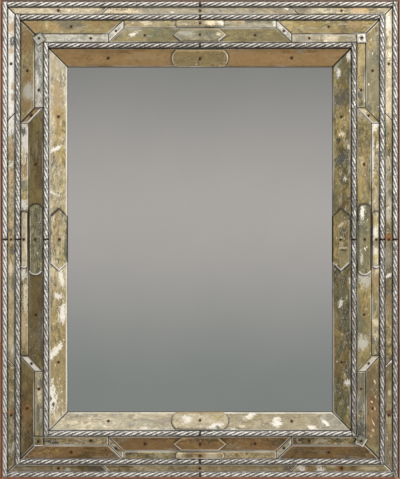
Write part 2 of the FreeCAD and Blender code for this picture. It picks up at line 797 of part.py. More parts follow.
def make_ropes(side):
    """Two lengths of rope for each ring, butted at the middle. The upright ones run into the corners."""
    radius = number("marks.rope_radius")
    start = number("sizes.rope_butt_gap / 2")
    for ring, line, floor in ROPE_RINGS:
        if side.kind == "upright":
            end = from_corner(side, f"{line} - marks.rope_radius")
        else:
            end = from_corner(side, f"{line} + marks.rope_radius + sizes.rope_clearance")
        seat = Vector(0, number(line), number(f"{floor} + marks.rope_radius"))
        rod = twisted_rod(number(end) - start, radius, number("sizes.rope_lead"))
        rod.translate(Vector(start, 0, 0))
        other = rod.rotated(Vector(), Vector(0, 0, 1), 180)
        rope = doc.addObject("Part::Feature", f"{side.name}_{ring}_rope")
        rope.Shape = Part.makeCompound([half.translated(seat) for half in (rod, other)])
        place_on(side, rope)
        as_node(rope, rope.Name)


# Corner squares

def corner_body(corner, name):
    """A body at a corner, tilted to lie on the hip there."""
    sign_x, sign_z = CORNERS[corner]
    body = new_body(f"{corner}_{name}")
    body.Placement = Placement(Vector(), Rotation(Vector(-sign_z, 0, sign_x), 1))
    body.setExpression("Placement.Base.x", f"{sign_x} * ({HALF_WIDTH} - marks.{corner}_square)")
    body.setExpression("Placement.Base.y", f"-marks.{corner}_floor")
    body.setExpression("Placement.Base.z", f"{sign_z} * ({HALF_HEIGHT} - marks.{corner}_square)")
    body.setExpression("Placement.Rotation.Angle", "marks.hip_tilt")
    return body


def make_squares():
    """The four squares, each with a nail, whose bodies are returned."""
    squares, nails = [], []
    half = "sizes.square_size / 2"
    outline = [("-" + half, "-" + half), (half, "-" + half), (half, half), ("-" + half, half)]
    for corner in CORNERS:
        def sketch_at(owner, name, lift="sizes.glass_thickness"):
            return new_sketch(owner, name, role="XZ_Plane", base=("0", "0", f"marks.square_rest + {lift}"),
                              axis=(0, 0, 1), tilt=f"sizes.{corner}_turn")

        square = corner_body(corner, "square")
        make_glass(square, sketch_at, lambda sketch: add_polygon(sketch, outline), [("0", "0")])
        squares.append(square)
        nail = corner_body(corner, "nail")
        make_nails(nail, sketch_at, [("0", "0")],
                   "sizes.nail_depth + marks.square_rest + sizes.glass_thickness")
        nails.append(nail)
    group("corner_squares", squares)
    return nails


# Mirror, back and hangers

def pane_outline(rebate):
    """A pane that lies in a rebate with a little room all round, as (x, z)."""
    across = f"({HALF_WIDTH} - {rebate} - sizes.pane_clearance)"
    up = f"({HALF_HEIGHT} - {rebate} - sizes.pane_clearance)"
    return [("-" + across, "-" + up), (across, "-" + up), (across, up), ("-" + across, up)]


def make_mirror():
    body = new_body("mirror_plate")
    sketch = new_sketch(body, "outline", role="XZ_Plane", base=("0", "0", "sizes.board_thickness"))
    add_polygon(sketch, pane_outline("marks.mirror_rebate"))
    pad(body, sketch, "sizes.mirror_thickness")
    as_node(body, "mirror_plate")


def board_holes():
    """The board's screw holes as (x, z), from each side's places along its own edge."""
    holes = []
    for side in SIDES:
        for along, line in board_screw_places(side):
            sign = "-" if side.name in ("bottom", "left") else ""
            if side.kind == "across":
                holes.append((along, f"{sign}({HALF_HEIGHT} - {line})"))
            else:
                holes.append((f"{sign}({HALF_WIDTH} - {line})", along))
    return holes


def make_board():
    """The board that closes the back, with countersunk screw holes."""
    body = new_body("back_board")
    sketch = new_sketch(body, "outline", role="XZ_Plane")
    add_polygon(sketch, pane_outline("marks.board_rebate"))
    add_circles(sketch, board_holes(), "marks.screw_pilot")
    plate = pad(body, sketch, "sizes.board_thickness")
    countersink(body, plate, "sizes.screw_head_height", Vector(0, 1, 0))
    as_node(body, "back_board")


def hanger_rectangle(middle, width, length):
    near = f"{middle} - ({width}) / 2"
    far = f"{middle} + ({width}) / 2"
    low = f"sizes.hanger_drop - ({length}) / 2"
    high = f"sizes.hanger_drop + ({length}) / 2"
    return [(near, low), (far, low), (far, high), (near, high)]


def make_hangers():
    """Two steel plates with keyholes: a round entry, and a slot that runs up from it."""
    body = new_body("hanger_plates", SIDES[0])
    sketch = new_sketch(body, "outline")
    for middle in HANGER_LINES:
        add_polygon(sketch, hanger_rectangle(middle, "sizes.hanger_width", "sizes.hanger_length"))
    add_circles(sketch, hanger_screw_places(), "marks.screw_pilot")
    plate = pad(body, sketch, "sizes.hanger_thickness")
    countersink(body, plate, "sizes.screw_head_height", Vector(0, 0, -1))
    slot_top = "sizes.hanger_drop - sizes.keyhole_rise"
    entries = new_sketch(body, "entries")
    tops = new_sketch(body, "slot_tops")
    slots = new_sketch(body, "slots")
    for middle in HANGER_LINES:
        near, far = f"{middle} - sizes.keyhole_slot / 2", f"{middle} + sizes.keyhole_slot / 2"
        add_circles(entries, [(middle, "sizes.hanger_drop")], "sizes.keyhole_entry")
        add_circles(tops, [(middle, slot_top)], "sizes.keyhole_slot")
        add_polygon(slots, [(near, slot_top), (far, slot_top),
                            (far, "sizes.hanger_drop"), (near, "sizes.hanger_drop")])
    for sketch in (entries, slots, tops):
        pocket(body, sketch, "sizes.hanger_thickness", forward=True)
    as_node(body, "hanger_plates")


# Assembly

for side in SIDES:
    make_rail(side)
    for kind in STRIP_KINDS:
        make_strips(side, kind)
    make_covers(side)
    make_ropes(side)
make_splines()
corner_nails = make_squares()
group("strip_nails", [body for side in SIDES for body in band_nails(side)] + corner_nails)
group("rope_nails", [body for side in SIDES for body in rope_nails(side)])
make_mirror()
make_board()
group("board_screws", [make_screws(new_body(f"{side.name}_board_screws", side), "0",
                                   board_screw_places(side)) for side in SIDES])
make_hangers()
as_node(make_screws(new_body("hanger_screws", SIDES[0]), "0", hanger_screw_places()), "hanger_screws")
doc.recompute()

for piece in doc.Objects:
    if "Invalid" in piece.State or "Error" in piece.State:
        raise RuntimeError(f"{piece.Name} did not build: {piece.State}")
    if piece.isDerivedFrom("PartDesign::Pocket"):
        if not piece.Shape.Volume < piece.BaseFeature.Shape.Volume:
            raise RuntimeError(f"{piece.Name} cut nothing")
for piece in nodes:
    if piece.Shape.isNull() or not piece.Shape.isValid():
        raise RuntimeError(f"{piece.Label} has no valid shape")

os.makedirs("parts", exist_ok=True)
for piece in nodes:
    piece.Shape.exportStep(f"parts/{piece.Label}.step")
    print(piece.Label, len(piece.Shape.Solids), "solids", round(piece.Shape.Volume), "mm3")
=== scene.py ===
import math

import bmesh
import bpy
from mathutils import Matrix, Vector


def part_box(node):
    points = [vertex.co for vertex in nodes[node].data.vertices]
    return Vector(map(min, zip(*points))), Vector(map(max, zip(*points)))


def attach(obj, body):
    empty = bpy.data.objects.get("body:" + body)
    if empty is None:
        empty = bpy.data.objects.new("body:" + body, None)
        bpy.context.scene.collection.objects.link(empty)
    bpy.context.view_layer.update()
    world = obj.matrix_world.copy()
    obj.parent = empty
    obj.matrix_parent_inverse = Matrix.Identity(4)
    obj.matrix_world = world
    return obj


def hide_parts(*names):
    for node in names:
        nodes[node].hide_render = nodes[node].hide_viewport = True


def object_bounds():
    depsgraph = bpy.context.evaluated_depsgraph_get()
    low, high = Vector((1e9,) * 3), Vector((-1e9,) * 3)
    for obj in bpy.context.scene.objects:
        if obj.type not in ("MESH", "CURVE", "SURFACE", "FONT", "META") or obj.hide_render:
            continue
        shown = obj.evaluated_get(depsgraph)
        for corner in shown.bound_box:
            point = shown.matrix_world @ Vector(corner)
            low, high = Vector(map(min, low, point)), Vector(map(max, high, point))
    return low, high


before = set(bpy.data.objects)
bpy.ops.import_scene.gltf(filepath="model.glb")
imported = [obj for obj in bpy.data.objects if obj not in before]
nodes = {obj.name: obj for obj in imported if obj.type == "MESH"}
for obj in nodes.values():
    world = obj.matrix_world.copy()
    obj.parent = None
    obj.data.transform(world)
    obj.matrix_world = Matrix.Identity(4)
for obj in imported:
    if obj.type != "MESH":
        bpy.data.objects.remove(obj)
cad_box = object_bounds()

# Looks of a wall mirror whose wooden frame is faced with nailed strips of old mirror glass and
# edged with twisted glass rope. Metres: X to the right, Z up, the front faces -Y.

MM = 0.001
FORWARD = Vector((0, -1, 0))
INWARD = {
    "top": Vector((0, 0, -1)),
    "right": Vector((-1, 0, 0)),
    "bottom": Vector((0, 0, 1)),
    "left": Vector((1, 0, 0)),
}
SIDES = tuple(INWARD)
RINGS = ("outer", "middle", "inner")

# Half width and half height of the mirror opening, and of the outer ropes around the frame
OPENING = (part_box("right_inner_strip")[0].x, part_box("top_inner_strip")[0].z)
OUTER_ROPES = (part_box("right_outer_rope")[1].x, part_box("top_outer_rope")[1].z)

# Slope of each band of glass, as its rise over its width, rising towards the mirror
BAND_SLOPE = {"outer": 2.5 / 16, "middle": 12 / 47, "inner": -15 / 36}


def is_across(side):
    return side in ("top", "bottom")


def slope_normal(side, band):
    """The normal of the band of glass on one side."""
    tilt = math.atan(BAND_SLOPE[band])
    return FORWARD * math.cos(tilt) - INWARD[side] * math.sin(tilt)


def tone(red, green, blue):
    """A colour given as sRGB screen values from 0 to 255, as linear light."""
    linear = []
    for value in (red, green, blue):
        share = value / 255
        linear.append(share / 12.92 if share <= 0.04045 else ((share + 0.055) / 1.055) ** 2.4)
    return (*linear, 1.0)


# Tones of the old glass and of what shows where its silver is lost, from light to dark
TONES = {
    "chalk": tone(255, 253, 247),
    "bare": tone(240, 236, 226),
    "ivory": tone(240, 224, 192),
    "ground": tone(226, 222, 210),
    "cream": tone(218, 204, 174),
    "pearl": tone(192, 190, 178),
    "peach": tone(214, 184, 142),
    "oyster": tone(186, 178, 154),
    "champagne": tone(184, 169, 134),
    "silver": tone(158, 153, 138),
    "gold": tone(174, 154, 90),
    "straw": tone(166, 148, 98),
    "tan": tone(168, 138, 94),
    "khaki": tone(146, 130, 86),
    "amber": tone(144, 114, 74),
    "olive": tone(126, 113, 69),
    "moss": tone(110, 109, 82),
    "ochre": tone(150, 96, 46),
    "smoke": tone(88, 89, 83),
    "umber": tone(100, 81, 50),
    "rust": tone(98, 58, 32),
    "soot": tone(36, 31, 26),
}


# Shader nodes

# Numbers of the colour sockets of a Mix node
MIX_SHARE, MIX_FIRST, MIX_SECOND, MIX_RESULT = 0, 6, 7, 2

# How far painted shade reaches out of a crevice, and the open share of the view where it starts and is
# darkest
SHADE_REACH = 4.5 * MM
SHADE_ROOM = (0.94, 0.68)
SHADE_SAMPLES = 8


class NodeTree:
    """Short names for the nodes that this script adds to a tree."""

    def __init__(self, tree):
        self.tree = tree

    def feed(self, socket, value):
        if isinstance(value, bpy.types.NodeSocket):
            self.tree.links.new(value, socket)
        else:
            socket.default_value = value

    def add(self, kind, inputs, output=0, **settings):
        """A node with its settings, its inputs by name or number, and the output that is wanted."""
        node = self.tree.nodes.new(kind)
        for name, value in settings.items():
            setattr(node, name, value)
        for name, value in inputs.items():
            self.feed(node.inputs[name], value)
        return node.outputs[output]

    def split(self, vector):
        """The three parts of a vector, named X, Y and Z."""
        parts = self.tree.nodes.new("ShaderNodeSeparateXYZ")
        self.feed(parts.inputs[0], vector)
        return parts.outputs

    def math(self, operation, first, second=0.0):
        return self.add("ShaderNodeMath", {0: first, 1: second}, operation=operation)

    def measure(self, operation, first, second=(0, 0, 0)):
        """A number worked out from vectors, such as a length or a distance."""
        return self.add("ShaderNodeVectorMath", {0: first, 1: second}, output="Value",
                        operation=operation)

    def fold(self, operation, values):
        """Values joined one after another by an operation such as MAXIMUM."""
        found = values[0]
        for value in values[1:]:
            found = self.math(operation, found, value)
        return found

    def sum(self, *shares):
        """The sum of values, each times its share."""
        found = None
        for value, share in shares:
            part = self.math("MULTIPLY", value, share)
            found = part if found is None else self.math("ADD", found, part)
        return found

    def spread(self, value, low, high, to_low=0.0, to_high=1.0):
        """A value eased from one range to another."""
        return self.add("ShaderNodeMapRange", {"Value": value, "From Min": low, "From Max": high,
                                               "To Min": to_low, "To Max": to_high},
                        interpolation_type="SMOOTHSTEP")

    def mix(self, share, first, second, blend_type="MIX"):
        return self.add("ShaderNodeMix", {MIX_SHARE: share, MIX_FIRST: first, MIX_SECOND: second},
                        output=MIX_RESULT, data_type="RGBA", blend_type=blend_type)


class Paint(NodeTree):
    """One material under construction: its shader and the nodes that feed it."""

    def __init__(self, name):
        self.material = bpy.data.materials.new(name)
        self.material.use_nodes = True
        super().__init__(self.material.node_tree)
        self.shader = self.tree.nodes["Principled BSDF"]
        self.place = self.add("ShaderNodeTexCoord", {}, output="Object")

    def surface(self, **values):
        """Feed inputs of the shader, each named as the shader does but in small letters."""
        for name, value in values.items():
            self.feed(self.shader.inputs[name.replace("_", " ").title()], value)

    def moved(self, scale, offset=(0, 0, 0)):
        """Places scaled and shifted, so that a pattern is drawn out or differs between pieces."""
        return self.add("ShaderNodeMapping", {"Vector": self.place, "Scale": scale, "Location": offset})

    def noise(self, where, scale, detail=4.0, roughness=0.55, distortion=0.0):
        return self.add("ShaderNodeTexNoise", {"Vector": where, "Scale": scale, "Detail": detail,
                                               "Roughness": roughness, "Distortion": distortion})

    def outside(self, halves):
        """How far a place lies outside a rectangle of this half width and half height."""
        parts = self.split(self.place)
        past = [self.math("SUBTRACT", self.math("ABSOLUTE", parts[axis]), half)
                for axis, half in zip("XZ", halves)]
        return self.fold("MAXIMUM", past)

    def painted_shade(self, colour, share):
        """The colour darkened with painted shade in the crevices beside other pieces."""
        room = self.add("ShaderNodeAmbientOcclusion", {"Distance": SHADE_REACH}, output="AO",
                        samples=SHADE_SAMPLES)
        # Painted shade: soot where little of the view is open
        return self.mix(self.spread(room, *SHADE_ROOM, 0.0, share), colour, TONES["soot"])

    def bump(self, height, distance, strength=1.0):
        return self.add("ShaderNodeBump", {"Height": height, "Distance": distance,
                                           "Strength": strength})


def dress(node, paint):
    """Give a CAD node its material."""
    slots = nodes[node].data.materials
    slots.clear()
    slots.append(paint.material)


# Nails

# Vertices closer than this in front view belong to one nail, and those this deep to its head
NAIL_REACH = 14 * MM
HEAD_DEPTH = 1.5 * MM


def nail_places(node):
    """The middle of each nail head of a node, as seen from the front."""
    corners = [vertex.co for vertex in nodes[node].data.vertices]
    spots = {tuple(round(value, 3) for value in (corner.x, corner.z, corner.y)) for corner in corners}
    nails = []
    for spot in sorted(spots):
        near = [nail for nail in nails if math.dist(nail[0][:2], spot[:2]) < NAIL_REACH]
        if near:
            near[0].append(spot)
        else:
            nails.append([spot])
    middles = []
    for nail in nails:
        front = min(y for _, _, y in nail)
        head = [(x, z) for x, z, y in nail if y < front + HEAD_DEPTH]
        x, z = (sum(values) / len(head) for values in zip(*head))
        middles.append(Vector((x, 0, z)))
    return middles


def rusty_iron():
    paint = Paint("rusty_iron")
    grain = paint.noise(paint.place, scale=900, detail=6)
    patches = paint.noise(paint.place, scale=140, detail=2)
    rusted = paint.mix(paint.spread(grain, 0.42, 0.7), TONES["soot"], TONES["rust"])
    paint.surface(base_color=paint.mix(paint.spread(patches, 0.45, 0.65), rusted, tone(46, 33, 25)),
                  metallic=0.25, roughness=paint.spread(grain, 0.3, 0.7, 0.55, 0.85),
                  normal=paint.bump(grain, distance=0.4 * MM))
    return paint


# Old mirror glass

BAND_STRIPS = {
    "outer": ("outer_strips",),
    "middle": ("wide_corner_strips", "narrow_corner_strips", "diagonal_strips",
               "narrow_centre_strip", "wide_centre_strip"),
    "inner": ("inner_strip",),
}

# Light, middle and dark tone of each piece, how much of its silver has flaked off and how crusted
# the rest is. The tones differ from side to side partly as painted light and painted reflection:
# bands that face down or away from the light are given darker, browner tones than those facing it.
LOOKS = {
    "top_outer_strips": ("cream", "champagne", "silver", 0.0, 0.7),
    "top_wide_corner_strips": ("straw", "khaki", "olive", -0.02, 0.5),
    "top_narrow_corner_strips": ("pearl", "silver", "moss", 0.0, 0.4),
    "top_diagonal_strips": ("bare", "pearl", "silver", 0.02, 0.4),
    "top_narrow_centre_strip": ("straw", "silver", "moss", 0.0, 0.8),
    "top_wide_centre_strip": ("khaki", "olive", "moss", -0.02, 0.35),
    "top_inner_strip": ("tan", "tan", "amber", -0.1, 0.1),
    "top_cover_plates": ("champagne", "silver", "moss", 0.0, 0.6),
    "right_outer_strips": ("champagne", "khaki", "moss", 0.01, 0.8),
    "right_wide_corner_strips": ("straw", "khaki", "moss", 0.0, 0.5),
    "right_narrow_corner_strips": ("champagne", "khaki", "moss", 0.0, 0.8),
    "right_diagonal_strips": ("cream", "champagne", "khaki", 0.01, 0.5),
    "right_narrow_centre_strip": ("cream", "straw", "moss", 0.01, 1.1),
    "right_wide_centre_strip": ("straw", "olive", "moss", 0.0, 0.6),
    "right_inner_strip": ("straw", "olive", "moss", 0.01, 0.8),
    "right_cover_plates": ("straw", "khaki", "moss", 0.01, 0.8),
    "bottom_outer_strips": ("champagne", "olive", "umber", 0.0, 1.15),
    "bottom_wide_corner_strips": ("amber", "amber", "umber", -0.06, 0.45),
    "bottom_narrow_corner_strips": ("champagne", "olive", "umber", 0.0, 0.9),
    "bottom_diagonal_strips": ("cream", "olive", "umber", 0.02, 0.7),
    "bottom_narrow_centre_strip": ("champagne", "straw", "moss", 0.0, 0.9),
    "bottom_wide_centre_strip": ("amber", "amber", "umber", -0.06, 0.35),
    "bottom_inner_strip": ("cream", "oyster", "silver", 0.0, 0.35),
    "bottom_cover_plates": ("amber", "amber", "umber", 0.0, 0.5),
    "left_outer_strips": ("bare", "ivory", "champagne", 0.02, 0.7),
    "left_wide_corner_strips": ("straw", "olive", "umber", -0.02, 0.7),
    "left_narrow_corner_strips": ("bare", "pearl", "silver", 0.0, 0.45),
    "left_diagonal_strips": ("straw", "amber", "umber", 0.0, 0.4),
    "left_narrow_centre_strip": ("cream", "champagne", "olive", 0.02, 1.0),
    "left_wide_centre_strip": ("olive", "olive", "umber", -0.06, 0.35),
    "left_inner_strip": ("cream", "champagne", "straw", 0.01, 0.55),
    "left_cover_plates": ("cream", "champagne", "moss", 0.0, 0.6),
    "corner_squares": ("pearl", "silver", "moss", 0.0, 0.5),
}

# Broad changes of tone: x and z of the middle, half width and half height in millimetres, tone
# and strength. Those that lighten the upper parts and darken the lower parts of the upright sides
# are partly painted light from above and painted shade below.
WASHES = {
    "top_outer_strips": [
        (-280, 457, 110, 9, "cream", 0.9),
        (0, 457, 120, 9, "silver", 0.8),
    ],
    "top_narrow_corner_strips": [
        (-246, 398, 70, 10, "pearl", 0.8),
        (246, 398, 70, 10, "champagne", 0.4),
    ],
    "top_narrow_centre_strip": [
        (-105, 434, 60, 9, "silver", 0.35),
        (110, 434, 60, 9, "champagne", 0.25),
    ],
    "top_wide_centre_strip": [
        (95, 408, 95, 13, "olive", 1.0),
        (95, 408, 95, 13, "moss", 0.4),
        (130, 408, 50, 13, "umber", 0.3),
    ],
    "top_cover_plates": [
        (0, 365, 62, 19, "tan", 0.8),
        (0, 433, 55, 9, "champagne", 0.6),
        (0, 408, 56, 13, "moss", 0.5),
    ],
    "right_outer_strips": [
        (376, 355, 10, 115, "ivory", 0.95),
        (376, -340, 10, 130, "umber", 0.6),
    ],
    "right_wide_corner_strips": [
        (345, 330, 16, 80, "silver", 0.45),
        (345, 330, 16, 80, "moss", 0.3),
        (345, -330, 16, 80, "umber", 0.9),
    ],
    "right_narrow_corner_strips": [
        (320, 330, 10, 80, "straw", 0.7),
        (320, -330, 10, 80, "smoke", 0.9),
    ],
    "right_narrow_centre_strip": [
        (350, 140, 9, 80, "khaki", 0.6),
        (350, -150, 9, 80, "olive", 0.6),
    ],
    "right_inner_strip": [(286, -195, 18, 130, "umber", 0.4)],
    "right_cover_plates": [
        (326, 3, 12, 75, "moss", 0.9),
        (350, 2, 9, 62, "cream", 0.8),
        (284, 3, 18, 62, "straw", 0.6),
    ],
    "bottom_outer_strips": [
        (20, -457, 150, 9, "champagne", 0.7),
        (275, -457, 100, 9, "straw", 0.85),
        (-290, -457, 100, 9, "umber", 0.5),
    ],
    "bottom_wide_corner_strips": [(250, -428, 90, 16, "umber", 0.35)],
    "bottom_narrow_corner_strips": [(-246, -403, 70, 10, "champagne", 1.0)],
    "bottom_narrow_centre_strip": [
        (100, -431, 60, 10, "champagne", 0.9),
        (100, -431, 60, 10, "peach", 0.25),
    ],
    "bottom_inner_strip": [
        (160, -366, 130, 20, "silver", 1.0),
        (150, -366, 90, 20, "straw", 0.4),
    ],
    "bottom_cover_plates": [
        (0, -366, 62, 19, "oyster", 1.0),
        (0, -366, 62, 19, "cream", 0.25),
        (0, -429, 55, 9, "champagne", 0.9),
    ],
    "left_outer_strips": [
        (-376, 0, 10, 222, "straw", 0.9),
        (-376, -350, 10, 125, "olive", 0.95),
    ],
    "left_wide_corner_strips": [
        (-345, 330, 16, 100, "straw", 0.8),
        (-345, 330, 16, 100, "champagne", 0.3),
        (-345, -330, 16, 100, "umber", 0.6),
    ],
    "left_narrow_corner_strips": [(-320, -330, 10, 80, "straw", 0.8)],
    "left_narrow_centre_strip": [
        (-350, 140, 9, 80, "ivory", 0.9),
        (-350, -145, 9, 80, "straw", 0.6),
    ],
    "left_wide_centre_strip": [(-326, -150, 14, 90, "umber", 0.5)],
    "left_inner_strip": [
        (-284, 320, 18, 60, "pearl", 0.6),
        (-284, 90, 18, 60, "oyster", 0.6),
        (-284, -220, 18, 130, "khaki", 0.9),
    ],
    "left_cover_plates": [
        (-326, 3, 12, 75, "moss", 1.0),
        (-350, 2, 9, 62, "cream", 0.9),
    ],
}

